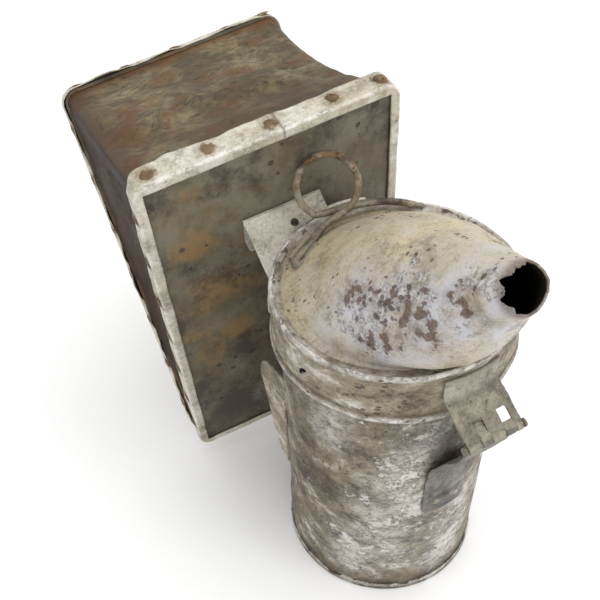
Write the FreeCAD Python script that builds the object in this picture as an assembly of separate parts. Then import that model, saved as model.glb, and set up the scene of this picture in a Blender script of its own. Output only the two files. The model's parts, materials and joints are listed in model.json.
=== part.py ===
import FreeCAD, Part
import math
import os

"""An old bee smoker: a tin fire pot with a hinged conical lid, carried on the front board of a
wedge bellows.  Millimetres, +Z up.  The origin is the centre of the fire pot's base, +Y points
from the pot to the bellows, and the spout and the lid hinge are at the front, on -Y."""

Vector = FreeCAD.Vector
Rotation = FreeCAD.Rotation
Placement = FreeCAD.Placement

UP = Vector(0, 0, 1)
ACROSS = Vector(1, 0, 0)
CENTRE = Vector(0, 0, 0)

# fire pot
POT_R = 49.3
POT_WALL = 1.0
POT_TOP = 172.0
POT_FLOOR = 1.1
STOP_BEAD_Z = 155.6
STOP_BEAD_R = 50.9
BASE_CUP_R = 50.2
BASE_CUP_H = 5.5
SEAM_WIDTH_DEG = 8.0
SEAM_AT_DEG = -8.0
GRATE_R = 46.8
GRATE_Z = 54.0
GRATE_THICK = 1.0
GRATE_HOLE_R = 3.4
GRATE_RINGS = ((1, 0.0), (6, 14.0), (12, 27.0), (18, 39.0))
GRATE_LEG_R = 43.8
GRATE_LEG_HALF = 4.0
SEAT_PLAY = 0.1
RIVET_R = 2.2
RIVET_H = 0.9
SCREW_R = 2.6
SCREW_H = 1.4
AIR_TUBE_R = 7.0
AIR_TUBE_WALL = 0.8
AIR_TUBE_REACH = 63.0

# lid
COLLAR_R = 53.2
COLLAR_WALL = 1.0
COLLAR_BOTTOM = 157.2
RIM_TOP = 185.6
SHELF_Z = 182.6
SHELF_INNER_R = 45.0
HOOD_BASE_R = 49.2
HOOD_WALL = 0.9
MOUTH_CENTRE = Vector(0, -70.4, 241.1)
MOUTH_R = 9.0
MOUTH_TILT_DEG = 35.0
RING_CENTRE = Vector(-2.2, 50.8, 203.0)
RING_R = 13.6
RING_LEAN_DEG = 35.0
RING_YAW_DEG = -25.0
WIRE_R = 1.4
WIRE_END_DEGS = (131.0, 45.0)
WIRE_END_R = 49.3
WIRE_END_Z = 187.3
SOLDER_DEG = 3.5

# lid hinge at the front
HINGE_Y = -70.5
HINGE_Z = 157.5
HINGE_PIN_R = 1.3
KNUCKLE_R = 2.5
PIN_CLEARANCE = 0.06
LEAF_THICK = 0.9
LEAF_LEFT = -12.0
LEAF_RIGHT = 14.0
SLOTS = ((-6.0, -0.8), (5.5, 10.8))
SLOT_PLAY = 0.35
SLOT_REACH = 7.2
CURL_REACH = 6.7
LEAF_GAP = 0.1
LEAF_LOW = 160.8
LEAF_TOP = 181.0
LEAF_FOLD_Y = -54.2
LEAF_FOLD_Z = 169.5
LEAF_ROOT = (-51.0, 170.2)
LOWER_LEAF_FOOT = 76.0
LOWER_LEAF_BEND = 106.0
LOWER_LEAF_HALF = 11.3
LOWER_LEAF_CURVE = [(-48.9, 100.0), (-49.5, 106.0), (-53.0, 119.0), (-59.0, 131.0), (-66.0, 142.0)]
PIN_END = 1.6
PIN_HEAD_OVER = 0.6
PIN_HEAD_H = 1.0

# brackets between the pot and the front board
SADDLE_R = 54.9
HANG_HOLE_R = 2.0
BRACKET_TIN = 0.9
TOP_PLATE_SLOPE_DEG = 32.0
TOP_PLATE_AT = 169.2
TOP_PLATE_LEFT = -17.2
TOP_PLATE_RIGHT = 22.0
HANG_HOLE_AT = (4.9, -9.6)
CHANNEL_RIGHT = 19.0
CHANNEL_LOW = 155.0
CHANNEL_FOOT = 6.0
SKIRT_LOW = 118.0
SKIRT_ARC = (70, 140)
BOX_LEFT = -8.0
BOX_RIGHT = 28.0
BOX_LOW = 62.0
BOX_TOP = 92.0
BAND_LOW = 64.0
BAND_TOP = 116.0
BAND_ARC = (19, 161)
EAR_X = 46.0
EAR_FRONT = 16.0
EAR_SIDE = ((16, 66), (24, 64), (31, 78), (36, 95), (41, 108))
EAR_ARC = ((41, 108), (39.5, 121), (29, 129))
EAR_TOP = 131.0
SCREW_SPOTS = ((-11, 163), (12, 163), (-2, 77), (22, 77))
SKIRT_RIVETS = ((80, 126), (100, 126), (120, 126), (80, 140), (100, 140), (120, 140))
BAND_RIVETS = ((60, 104), (120, 104), (140, 104))
FACE_GAP = 0.3

# bellows boards, in the boards' own frame: x across, y through the thickness, z up the board
BOARD_W = 126.0
BOARD_H = 212.0
BOARD_T = 9.2
BOARD_CORNER_R = 8.0
HINGE_GAP = 0.9
OPEN_DEG = 33.0
STRIP_THICK = 0.6
STRIP_LIP = 4.2
TOP_STRIP_W = 11.8
SIDE_STRIP_W = 9.0
LEATHER_THICK = 1.6
LEATHER_INSET = 1.6
NAIL_HEAD_R = 3.4
NAIL_HEAD_H = 1.3
NAIL_RIM_H = 0.55
NAIL_TOP_R = 2.3
TOP_NAILS = (9.7, 37.5, 66.4, 96.4, 119.2)
SIDE_NAIL_COUNT = 7
BOTTOM_NAIL_COUNT = 4
VALVE_HOLE_R = 9.5
VALVE_HOLE_AT = 165.0
VALVE_FLAP_TOP = 184.0
VALVE_FLAP_LENGTH = 34.0
VALVE_FLAP_WIDTH = 32.0
VALVE_FLAP_THICK = 1.6
VALVE_PLAY = 0.3
VALVE_LINE_RISE = 1.3
KEEPER_H = 6.6
KEEPER_THICK = 2.6
GUARD_TACK_AT = 15.0
GUARD_TACK_R = 1.8
GUARD_TACK_H = 0.8
GUARD_HOLE_R = 2.0
GUARD_HOLE_RING = 6.0
GUARD_R = 19.0
NOZZLE_AT = (10.0, 16.5)
NOZZLE_R = 7.0
SPRING_W = 12.0
SPRING_THICK = 0.9

# the front board stands behind the pot, leaning towards it and a little askew
SEAT = Placement(Vector(-9.9, 76.95, 21.0), Rotation(-2.8, -3.6, 4.4))
BOARD_HINGE = Vector(0, BOARD_T + HINGE_GAP / 2, 0)


def polar(radius, degrees, height=0.0):
    """A point at this radius and angle about the pot's axis."""
    angle = math.radians(degrees)
    return Vector(radius * math.cos(angle), radius * math.sin(angle), height)


def turned(profile):
    """A ring or cup: an (r, z) outline turned about the pot's axis."""
    outline = Part.makePolygon([Vector(r, 0, z) for r, z in profile + profile[:1]])
    return Part.Face(outline).revolve(CENTRE, UP, 360)


def pipe(outer, inner, low, high):
    """An upright tube wall."""
    return turned([(inner, low), (outer, low), (outer, high), (inner, high)])


def wedge(radius, start_deg, end_deg, low, high):
    """A slice of a cylinder between two angles, for cutting bands to length."""
    slice_ = Part.makeCylinder(radius, high - low, Vector(0, 0, low), UP, end_deg - start_deg)
    slice_.rotate(CENTRE, UP, start_deg)
    return slice_


def block(x0, x1, y0, y1, z0, z1):
    """A plain block between two corners."""
    return Part.makeBox(x1 - x0, y1 - y0, z1 - z0, Vector(x0, y0, z0))


def bent_sheet(points, x0, x1):
    """A closed (y, z) outline pushed across from x0 to x1."""
    outline = Part.makePolygon([Vector(x0, y, z) for y, z in points + points[:1]])
    return Part.Face(outline).extrude(Vector(x1 - x0, 0, 0))


def thick_line(line, thick):
    """The closed outline of a (y, z) polyline with its thickness laid off to the left."""
    normals = []
    for (ya, za), (yb, zb) in zip(line, line[1:]):
        length = math.hypot(yb - ya, zb - za)
        normals.append(((za - zb) / length, (yb - ya) / length))
    other_side = []
    for index, (y, z) in enumerate(line):
        before = normals[max(index - 1, 0)]
        after = normals[min(index, len(normals) - 1)]
        grow = thick / (1 + before[0] * after[0] + before[1] * after[1])
        other_side.append((y + grow * (before[0] + after[0]), z + grow * (before[1] + after[1])))
    return line + other_side[::-1]


def dome_head(position, axis, radius, height):
    """A domed head: the cap of a ball, standing on its flat face."""
    ball_r = (radius * radius + height * height) / (2 * height)
    ball = Part.makeSphere(ball_r, position - axis * (ball_r - height))
    keep = Part.makeCylinder(radius * 1.2, height * 1.5, position, axis)
    return ball.common(keep)


def nail_head(position, axis):
    """A flat-topped nail head: a short rim with a cone on it."""
    rim = Part.makeCylinder(NAIL_HEAD_R, NAIL_RIM_H, position, axis)
    rise = NAIL_HEAD_H - NAIL_RIM_H
    cone = Part.makeCone(NAIL_HEAD_R, NAIL_TOP_R, rise, position + axis * NAIL_RIM_H, axis)
    return rim.fuse(cone).removeSplitter()


def fused(shapes):
    """One solid from touching shapes."""
    joined = shapes[0].multiFuse(shapes[1:])
    return joined.removeSplitter()


def seated(shape):
    """Carries a shape from the boards' frame to the smoker's frame."""
    placed = shape.copy()
    placed.Placement = SEAT.multiply(placed.Placement)
    return placed


def opened(shape):
    """Swings a shape of the back board from closed to its open rest angle."""
    swung = shape.copy()
    swung.rotate(BOARD_HINGE, ACROSS, -OPEN_DEG)
    return swung


# ---------------------------------------------------------------- fire pot

def fire_pot():
    """The open tin cylinder, with the bead that the lid's collar comes down to."""
    inner = POT_R - POT_WALL
    bead = STOP_BEAD_Z
    wall = turned([
        (inner, POT_FLOOR), (POT_R, POT_FLOOR), (POT_R, bead - 1.9), (STOP_BEAD_R, bead - 0.5),
        (STOP_BEAD_R, bead + 0.3), (POT_R, bead + 1.4), (POT_R, POT_TOP), (inner, POT_TOP),
    ])
    air_hole = Part.makeCylinder(AIR_TUBE_R + 0.02, 20, air_axis_point(POT_R - 12), Vector(0, 1, 0))
    return wall.cut(air_hole)


def pot_base_cup():
    """The pot's bottom disc with its turned-up hem."""
    return turned([
        (0, 0), (BASE_CUP_R, 0), (BASE_CUP_R, BASE_CUP_H), (POT_R + 0.05, BASE_CUP_H),
        (POT_R + 0.05, 1.0), (0, 1.0),
    ])


def pot_side_seam():
    """The folded seam that closes the rolled cylinder, up one side."""
    half = SEAM_WIDTH_DEG / 2
    band = pipe(POT_R + 0.75, POT_R + 0.02, BASE_CUP_H + 0.3, STOP_BEAD_Z - 2.4)
    return band.common(wedge(POT_R + 5, SEAM_AT_DEG - half, SEAM_AT_DEG + half, 0, POT_TOP))


def air_axis_point(y):
    """A point on the air passage's axis, which runs along +Y into the board's nozzle."""
    nozzle = SEAT.multVec(Vector(NOZZLE_AT[0], 0, NOZZLE_AT[1]))
    return Vector(nozzle.x, y, nozzle.z)


def pot_air_tube():
    """The short tube that takes the blast through the pot's back wall."""
    start = air_axis_point(POT_R - 5)
    reach = AIR_TUBE_REACH - start.y
    outer = Part.makeCylinder(AIR_TUBE_R, reach, start, Vector(0, 1, 0))
    inner = Part.makeCylinder(AIR_TUBE_R - AIR_TUBE_WALL, reach, start, Vector(0, 1, 0))
    return outer.cut(inner)


def fire_grate():
    """The loose pierced plate under the fire, on four strip legs."""
    plate = Part.makeCylinder(GRATE_R, GRATE_THICK, Vector(0, 0, GRATE_Z))
    holes = []
    for count, radius in GRATE_RINGS:
        for index in range(count):
            spot = polar(radius, 360.0 * index / count, GRATE_Z - 1)
            holes.append(Part.makeCylinder(GRATE_HOLE_R, 4, spot))
    plate = plate.cut(Part.makeCompound(holes))
    legs = []
    for index in range(4):
        leg = block(GRATE_LEG_R, GRATE_LEG_R + 1.0, -GRATE_LEG_HALF, GRATE_LEG_HALF, POT_FLOOR, GRATE_Z + 0.3)
        leg.rotate(CENTRE, UP, 45 + 90 * index)
        legs.append(leg)
    return fused([plate] + legs)


# ---------------------------------------------------------------- lid

def lid_collar():
    """The lid's band, with a rolled top rim, a hem at the bottom and a shelf for the hood."""
    outer = COLLAR_R
    inner = COLLAR_R - COLLAR_WALL
    low = COLLAR_BOTTOM
    return turned([
        (inner, low), (outer + 0.6, low), (outer + 1.0, low + 1.2), (outer + 0.7, low + 2.6),
        (outer, low + 3.4), (outer, RIM_TOP - 2.6), (outer + 0.4, RIM_TOP - 1.4),
        (outer + 0.1, RIM_TOP - 0.3), (outer - 0.7, RIM_TOP), (outer - 1.5, RIM_TOP - 0.4),
        (outer - 1.7, RIM_TOP - 1.4), (outer - 1.4, RIM_TOP - 2.4), (outer - 1.4, SHELF_Z),
        (SHELF_INNER_R, SHELF_Z), (SHELF_INNER_R, SHELF_Z - 0.8), (inner, SHELF_Z - 0.8),
    ])


def hood_section(t, inset):
    """The hood's outline at t, from the round base (0) to the spout's mouth (1)."""
    base = Vector(0, 0, SHELF_Z + 0.05)
    centre = base + (MOUTH_CENTRE - base) * t
    radius = HOOD_BASE_R + (MOUTH_R - HOOD_BASE_R) * t - inset
    tilt = math.radians(90 - (90 - MOUTH_TILT_DEG) * t)
    normal = Vector(0, -math.cos(tilt), math.sin(tilt))
    return Part.Wire(Part.makeCircle(radius, centre, normal))


def lid_hood():
    """The slanting cone that carries the smoke forward to the spout."""
    outside = Part.makeLoft([hood_section(t, 0.0) for t in (0, 1)], True)
    inside = Part.makeLoft([hood_section(t, HOOD_WALL) for t in (-0.01, 1.02)], True)
    return outside.cut(inside)


def spout_lip():
    """The rolled edge round the mouth of the spout."""
    tilt = math.radians(MOUTH_TILT_DEG)
    normal = Vector(0, -math.cos(tilt), math.sin(tilt))
    centre = MOUTH_CENTRE + normal * 0.02
    outer = Part.makeCylinder(MOUTH_R + 0.35, 1.3, centre, normal)
    return outer.cut(Part.makeCylinder(MOUTH_R - HOOD_WALL, 1.3, centre, normal))


def ring_handle():
    """The wire loop that the lid is lifted by, with its two ends laid along the rim."""
    lean = Rotation(ACROSS, 90 - RING_LEAN_DEG)
    normal = Rotation(UP, RING_YAW_DEG).multVec(lean.multVec(UP))
    loop = Part.makeTorus(RING_R, WIRE_R, RING_CENTRE, normal)
    down = Rotation(UP, RING_YAW_DEG).multVec(lean.multVec(Vector(0, -1, 0)))
    foot = RING_CENTRE + down * RING_R
    parts = [loop]
    for end_deg in WIRE_END_DEGS:
        end = polar(WIRE_END_R, end_deg, WIRE_END_Z)
        parts.append(Part.makeCylinder(WIRE_R, foot.distanceToPoint(end), foot, end - foot))
        parts.append(Part.makeSphere(WIRE_R, end))
    return fused(parts)


def handle_lugs():
    """The two blobs of solder that hold the ends of the ring handle in the rim's groove."""
    pads = []
    for end_deg in WIRE_END_DEGS:
        band = pipe(COLLAR_R - 1.8, HOOD_BASE_R + 0.25, SHELF_Z + 0.05, RIM_TOP)
        pads.append(band.common(wedge(60, end_deg - SOLDER_DEG, end_deg + SOLDER_DEG, 150, 200)))
    return Part.makeCompound(pads)


# ---------------------------------------------------------------- lid hinge

def knuckle(x0, x1):
    """One barrel of the hinge, with its running hole for the pin."""
    start = Vector(x0, HINGE_Y, HINGE_Z)
    barrel = Part.makeCylinder(KNUCKLE_R, x1 - x0, start, ACROSS)
    return barrel.cut(Part.makeCylinder(HINGE_PIN_R + PIN_CLEARANCE, x1 - x0, start, ACROSS))


def pin_hole():
    """The space of the running pin, cut through both leaves."""
    start = Vector(LEAF_LEFT - 5, HINGE_Y, HINGE_Z)
    return Part.makeCylinder(HINGE_PIN_R + PIN_CLEARANCE, 40, start, ACROSS)


def sloping_plate(x0, x1):
    """The upper leaf's flat part between two places across it, from its fold down to the pin."""
    rest = HINGE_Z + KNUCKLE_R - LEAF_THICK
    line = [LEAF_ROOT, (LEAF_FOLD_Y, LEAF_FOLD_Z), (HINGE_Y - LEAF_THICK, rest)]
    return bent_sheet(thick_line(line, -LEAF_THICK), x0, x1)


def hinge_upper_leaf():
    """The square plate riveted to the collar, slotted for the lower leaf's knuckles."""
    inside = COLLAR_R + LEAF_GAP
    wrap = pipe(inside + LEAF_THICK, inside, LEAF_LOW, LEAF_TOP)
    half_deg = math.degrees(math.asin((LEAF_RIGHT - LEAF_LEFT) / 2 / COLLAR_R))
    middle_deg = -90 + math.degrees(math.asin((LEAF_RIGHT + LEAF_LEFT) / 2 / COLLAR_R))
    wrap = wrap.common(wedge(inside + 10, middle_deg - half_deg, middle_deg + half_deg, LEAF_LOW, LEAF_TOP))
    plate = sloping_plate(LEAF_LEFT, LEAF_RIGHT)
    plate = plate.cut(Part.makeCylinder(inside, LEAF_TOP))
    leaf = fused([wrap, plate, knuckle(LEAF_LEFT, LEAF_RIGHT)])
    for x0, x1 in SLOTS:
        leaf = leaf.cut(hinge_block(x0, x1, SLOT_REACH))
    return leaf.cut(pin_hole())


def hinge_block(x0, x1, reach):
    """The space round the pin between two places across it, up to this far behind the pin."""
    around = 2 * KNUCKLE_R
    return block(x0, x1, HINGE_Y - around, HINGE_Y + reach, HINGE_Z - around, LEAF_FOLD_Z)


def hinge_lower_leaf():
    """The bent strap from the knuckles down to the front of the pot, its left end curled into a slot."""
    flat = POT_R + LEAF_GAP
    strap = pipe(flat + LEAF_THICK, flat, LOWER_LEAF_FOOT, LOWER_LEAF_BEND)
    half_deg = math.degrees(math.asin(LOWER_LEAF_HALF / POT_R))
    strap = strap.common(wedge(flat + 10, -90 - half_deg, -90 + half_deg, 0, LOWER_LEAF_BEND))
    line = LOWER_LEAF_CURVE + [(HINGE_Y, HINGE_Z - KNUCKLE_R + LEAF_THICK)]
    rise = bent_sheet(thick_line(line, LEAF_THICK), -LOWER_LEAF_HALF, LOWER_LEAF_HALF)
    rise = rise.cut(Part.makeCylinder(flat, HINGE_Z))
    room = Part.makeCylinder(KNUCKLE_R + LEAF_GAP * 4, 4 * LOWER_LEAF_HALF, Vector(-30, HINGE_Y, HINGE_Z), ACROSS)
    pieces = [strap, rise.cut(room)]
    for x0, x1 in SLOTS:
        left, right = x0 + SLOT_PLAY, x1 - SLOT_PLAY
        pieces.append(rise.common(hinge_block(left, right, SLOT_REACH)))
        pieces.append(knuckle(left, right))
    left, right = SLOTS[0][0] + SLOT_PLAY, SLOTS[0][1] - SLOT_PLAY
    pieces.append(sloping_plate(left, right).common(hinge_block(left, right, CURL_REACH)))
    return fused(pieces).cut(pin_hole())


def hinge_pin():
    """The iron wire pin, headed at both ends."""
    start = Vector(LEAF_LEFT - PIN_END, HINGE_Y, HINGE_Z)
    length = LEAF_RIGHT - LEAF_LEFT + 2 * PIN_END
    pieces = [Part.makeCylinder(HINGE_PIN_R, length, start, ACROSS)]
    for x in (LEAF_LEFT - PIN_END, LEAF_RIGHT + PIN_END - PIN_HEAD_H):
        spot = Vector(x, HINGE_Y, HINGE_Z)
        pieces.append(Part.makeCylinder(HINGE_PIN_R + PIN_HEAD_OVER, PIN_HEAD_H, spot, ACROSS))
    return fused(pieces)


def hinge_rivets(radius, spots):
    """Flat-headed rivets through a leaf, at (angle from the front, height) spots."""
    heads = []
    for from_front, height in spots:
        axis = polar(1, -90 + from_front)
        heads.append(dome_head(polar(radius, -90 + from_front, height), axis, 2.0, 0.8))
    return Part.makeCompound(heads)


# ---------------------------------------------------------------- brackets

def saddle(profile, start_deg, end_deg):
    """A sheet turned about the pot's axis and cut to an arc of its back."""
    return turned(profile).common(wedge(80, start_deg, end_deg, 0, 250))


def sloped(shape):
    """Tips a shape of the boards' frame up the slope of the top plate and carries it there."""
    tipped = shape.copy()
    tipped.rotate(CENTRE, ACROSS, TOP_PLATE_SLOPE_DEG)
    tipped.translate(Vector(0, 0, TOP_PLATE_AT))
    return seated(tipped)


def upper_bracket():
    """The saddle behind the lid, with its sloping top plate and its channel on the board."""
    t = BRACKET_TIN
    near = POT_R + SEAT_PLAY
    skirt = saddle([
        (near, SKIRT_LOW), (near + t, SKIRT_LOW), (near + t, 150), (SADDLE_R + t, 158),
        (SADDLE_R + t, 200), (SADDLE_R, 200), (SADDLE_R, 158.3), (near, 150.3),
    ], *SKIRT_ARC)
    skirt = skirt.cut(sloped(block(-80, 80, -80, 20, t, 60)))
    plate = sloped(block(TOP_PLATE_LEFT, TOP_PLATE_RIGHT, -40, 0, 0, t))
    plate = plate.cut(Part.makeCylinder(SADDLE_R + 0.3, 120, Vector(0, 0, 130)))
    plate = plate.cut(seated(block(-60, 60, -FACE_GAP, 20, 100, 200)))
    channel = seated(bent_sheet(thick_line([
        (-CHANNEL_FOOT, CHANNEL_LOW), (-FACE_GAP, CHANNEL_LOW), (-FACE_GAP, TOP_PLATE_AT + 1.0),
    ], t), TOP_PLATE_LEFT, CHANNEL_RIGHT))
    body = fused([skirt, plate, channel])
    hole = Part.makeCylinder(HANG_HOLE_R, 10, Vector(HANG_HOLE_AT[0], HANG_HOLE_AT[1], -5))
    return body.cut(sloped(hole))


def lower_bracket():
    """The lower saddle: a band round the back of the pot with rounded ears and a box to the board."""
    t = BRACKET_TIN
    near = POT_R + SEAT_PLAY
    band = saddle([
        (near, BAND_LOW), (near + t, BAND_LOW), (near + t, BAND_TOP), (near, BAND_TOP),
    ], *BAND_ARC)
    cheeks = []
    for side in (-1, 1):
        ear = ear_outline(EAR_X * side, t * side)
        cheeks.append(ear.cut(Part.makeCylinder(near, 200)))
    box = seated(bent_sheet(thick_line([
        (-60.0, BOX_TOP), (-FACE_GAP, BOX_TOP), (-FACE_GAP, BOX_LOW), (-60.0, BOX_LOW),
    ], t), BOX_LEFT, BOX_RIGHT))
    box = box.cut(Part.makeCylinder(near, 250))
    return fused([band, box] + cheeks)


def ear_outline(x, thick):
    """One upright ear beside the pot: round at the top and tapering down to the pot's side."""
    side = [Vector(x, y, z) for y, z in EAR_SIDE]
    round_top = [Vector(x, y, z) for y, z in EAR_ARC]
    arc = Part.Arc(*round_top).toShape()
    front = [round_top[-1], Vector(x, EAR_FRONT, EAR_TOP), side[0]]
    outline = Part.Wire(Part.makePolygon(side).Edges + [arc] + Part.makePolygon(front).Edges)
    return Part.Face(outline).extrude(Vector(thick, 0, 0))


def bracket_rivets():
    """Rivet heads that hold both brackets to the pot's back."""
    heads = []
    for degrees, height in SKIRT_RIVETS + BAND_RIVETS:
        spot = polar(POT_R + SEAT_PLAY + BRACKET_TIN, degrees, height)
        heads.append(dome_head(spot, polar(1, degrees), RIVET_R, RIVET_H))
    return Part.makeCompound(heads)


def bracket_screws():
    """Round-headed screws through the brackets' webs into the front board."""
    out = SEAT.Rotation.multVec(Vector(0, -1, 0))
    heads = []
    stand = FACE_GAP + BRACKET_TIN + 0.02
    for x, z in SCREW_SPOTS:
        heads.append(dome_head(SEAT.multVec(Vector(x, -stand, z)), out, SCREW_R, SCREW_H))
    return Part.makeCompound(heads)


# ---------------------------------------------------------------- bellows boards

def rounded_panel(inset, y0, y1):
    """A board-shaped slab with rounded corners, shrunk by an inset all round."""
    half = BOARD_W / 2 - inset
    slab = block(-half, half, y0, y1, inset, BOARD_H - inset)
    upright = [edge for edge in slab.Edges if abs(edge.tangentAt(edge.FirstParameter).y) > 0.9]
    return slab.makeFillet(BOARD_CORNER_R - inset, upright)


def board_core():
    """One wooden board of the bellows, inside its tin edging."""
    return rounded_panel(STRIP_THICK, STRIP_THICK, BOARD_T)


def edge_strip():
    """The tin edging: a band round the board with a narrow lip, square inside, over its face."""
    band = rounded_panel(0, 0, SIDE_STRIP_W)
    band = band.cut(rounded_panel(STRIP_THICK, STRIP_THICK, BOARD_T + 1))
    half = BOARD_W / 2 - STRIP_LIP
    opening = block(-half, half, -1, STRIP_THICK + 1, STRIP_LIP, BOARD_H - STRIP_LIP)
    band = band.cut(opening)
    top = rounded_panel(0, SIDE_STRIP_W - 0.1, TOP_STRIP_W).cut(rounded_panel(STRIP_THICK, 0, TOP_STRIP_W + 1))
    top = top.common(block(-60, 60, 0, 20, BOARD_H - 6, BOARD_H + 1))
    return fused([band, top])


def strip_nails():
    """Nail heads along the edging: top, both sides and bottom."""
    depth = SIDE_STRIP_W * 0.55
    heads = []
    for x in TOP_NAILS:
        heads.append(nail_head(Vector(x - BOARD_W / 2, depth + 1, BOARD_H), UP))
    for side in (-1, 1):
        for index in range(SIDE_NAIL_COUNT):
            height = 20 + index * (BOARD_H - 40) / (SIDE_NAIL_COUNT - 1)
            spot = Vector(side * BOARD_W / 2, depth, height)
            heads.append(nail_head(spot, Vector(side, 0, 0)))
    for index in range(BOTTOM_NAIL_COUNT):
        x = -45 + index * 90 / (BOTTOM_NAIL_COUNT - 1)
        heads.append(nail_head(Vector(x, depth - 1, 0), Vector(0, 0, -1)))
    return Part.makeCompound(heads)


def front_board():
    """The board that the pot is fixed to, with the hole for the air nozzle."""
    x, z = NOZZLE_AT
    return board_core().cut(Part.makeCylinder(NOZZLE_R + 0.02, 30, Vector(x, -5, z), Vector(0, 1, 0)))


def board_nozzle():
    """The flanged tin ferrule in the front board, facing the pot's air tube."""
    x, z = NOZZLE_AT
    along = Vector(0, 1, 0)
    flange = Part.makeCylinder(NOZZLE_R + 4, 0.7, Vector(x, -0.2, z), along)
    tube = Part.makeCylinder(NOZZLE_R, BOARD_T + 5.2, Vector(x, -5.2, z), along)
    bore = Part.makeCylinder(NOZZLE_R - 0.8, BOARD_T + 12, Vector(x, -8, z), along)
    return fused([flange, tube]).cut(bore)


def to_back(shape):
    """Turns a front-board piece into its twin on the back board, swung open."""
    twin = shape.mirror(BOARD_HINGE, Vector(0, 1, 0))
    return opened(twin)


def back_board():
    """The board that is pumped, with the intake hole of the valve."""
    hole = Part.makeCylinder(VALVE_HOLE_R, 30, Vector(0, -5, VALVE_HOLE_AT), Vector(0, 1, 0))
    return to_back(board_core().cut(hole))


def intake_guard():
    """The pierced tin disc over the intake hole, on the outside of the back board."""
    plate = Part.makeCylinder(GUARD_R, 0.6, Vector(0, STRIP_THICK - 0.62, VALVE_HOLE_AT), Vector(0, 1, 0))
    holes = [Part.makeCylinder(GUARD_HOLE_R, 5, Vector(0, -2, VALVE_HOLE_AT), Vector(0, 1, 0))]
    for index in range(6):
        angle = math.radians(60 * index)
        x = GUARD_HOLE_RING * math.cos(angle)
        z = VALVE_HOLE_AT + GUARD_HOLE_RING * math.sin(angle)
        holes.append(Part.makeCylinder(GUARD_HOLE_R, 5, Vector(x, -2, z), Vector(0, 1, 0)))
    return to_back(plate.cut(Part.makeCompound(holes)))


def intake_guard_tacks():
    """Four tacks round the intake guard."""
    heads = []
    for index in range(4):
        angle = math.radians(45 + 90 * index)
        x = GUARD_TACK_AT * math.cos(angle)
        z = VALVE_HOLE_AT + GUARD_TACK_AT * math.sin(angle)
        spot = Vector(x, STRIP_THICK - 0.64, z)
        heads.append(dome_head(spot, Vector(0, -1, 0), GUARD_TACK_R, GUARD_TACK_H))
    return to_back(Part.makeCompound(heads))


def valve_hinge_line():
    """The line that the flap swings on, in the back board's closed frame."""
    return Vector(0, BOARD_T + VALVE_LINE_RISE, VALVE_FLAP_TOP)


def valve_flap():
    """The leather flap that covers the intake hole from inside."""
    line = valve_hinge_line()
    y0 = BOARD_T + VALVE_PLAY
    half = VALVE_FLAP_WIDTH / 2
    leather = block(-half, half, y0, y0 + VALVE_FLAP_THICK, line.z - VALVE_FLAP_LENGTH, line.z - 1.6)
    return to_back(leather)


def valve_keeper():
    """The tin strip that nips the top of the flap to the board."""
    line = valve_hinge_line()
    half = VALVE_FLAP_WIDTH / 2
    return to_back(block(-half, half, BOARD_T + 0.02, BOARD_T + KEEPER_THICK, line.z + 0.4, line.z + KEEPER_H + 0.4))


# ---------------------------------------------------------------- soft and sprung parts

def board_line(distance, offset):
    """A (y, z) point on the back board's inner face, this far up from the hinge."""
    angle = math.radians(OPEN_DEG)
    y = BOARD_HINGE.y + distance * math.sin(angle) + (HINGE_GAP / 2 - offset) * math.cos(angle)
    z = distance * math.cos(angle) - (HINGE_GAP / 2 - offset) * math.sin(angle)
    return (y, z)


def leather_wedge(inset, low, top_sag):
    """The wedge between the boards, inset at the sides, with its top sagging towards the middle."""
    half = BOARD_W / 2 - inset
    top = BOARD_H - inset - 1.0
    front_foot = (BOARD_T + 0.15, low)
    front_head = (BOARD_T + 0.15, top)
    back_foot = board_line(low, 0.15)
    back_head = board_line(top, 0.15)
    middle = board_mid_point(top - top_sag)
    points = [Vector(-half, y, z) for y, z in (front_head, front_foot, back_foot, back_head)]
    sides = Part.makePolygon(points)
    roof = Part.Arc(points[3], Vector(-half, middle[0], middle[1]), points[0]).toShape()
    outline = Part.Wire(sides.Edges + [roof])
    return Part.Face(outline).extrude(Vector(2 * half, 0, 0))


def board_mid_point(distance):
    """A (y, z) point half way between the boards, this far from the hinge."""
    angle = math.radians(OPEN_DEG / 2)
    return (BOARD_HINGE.y + distance * math.sin(angle), distance * math.cos(angle))


def bellows_leather():
    """The leather gusset: two sides and a top that sags between the boards."""
    outside = leather_wedge(LEATHER_INSET, 8.0, 10.0)
    inside = leather_wedge(LEATHER_INSET + LEATHER_THICK, 4.0, 10.0 + LEATHER_THICK)
    reach = block(-BOARD_W, BOARD_W, -20, 200, -20, 300)
    hollow = widened(inside).common(reach)
    return outside.cut(hollow)


def widened(shape):
    """Stretches the inner wedge through both board faces, so that only walls are left."""
    swollen = [shape]
    for step in (-1.0, 1.0):
        moved = shape.copy()
        moved.translate(Vector(0, step, 0))
        swollen.append(moved)
    return fused(swollen)


def bellows_spring():
    """The bent flat spring that pushes the boards apart, inside the bellows."""
    front = BOARD_T + 0.3
    foot = board_line(46, 0.3)
    head = board_line(118, 0.3)
    low = board_mid_point(34)
    outline = thick_line([(front, 118), (front, 46), low, foot, head], SPRING_THICK)
    return bent_sheet(outline, -SPRING_W / 2, SPRING_W / 2)


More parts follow.
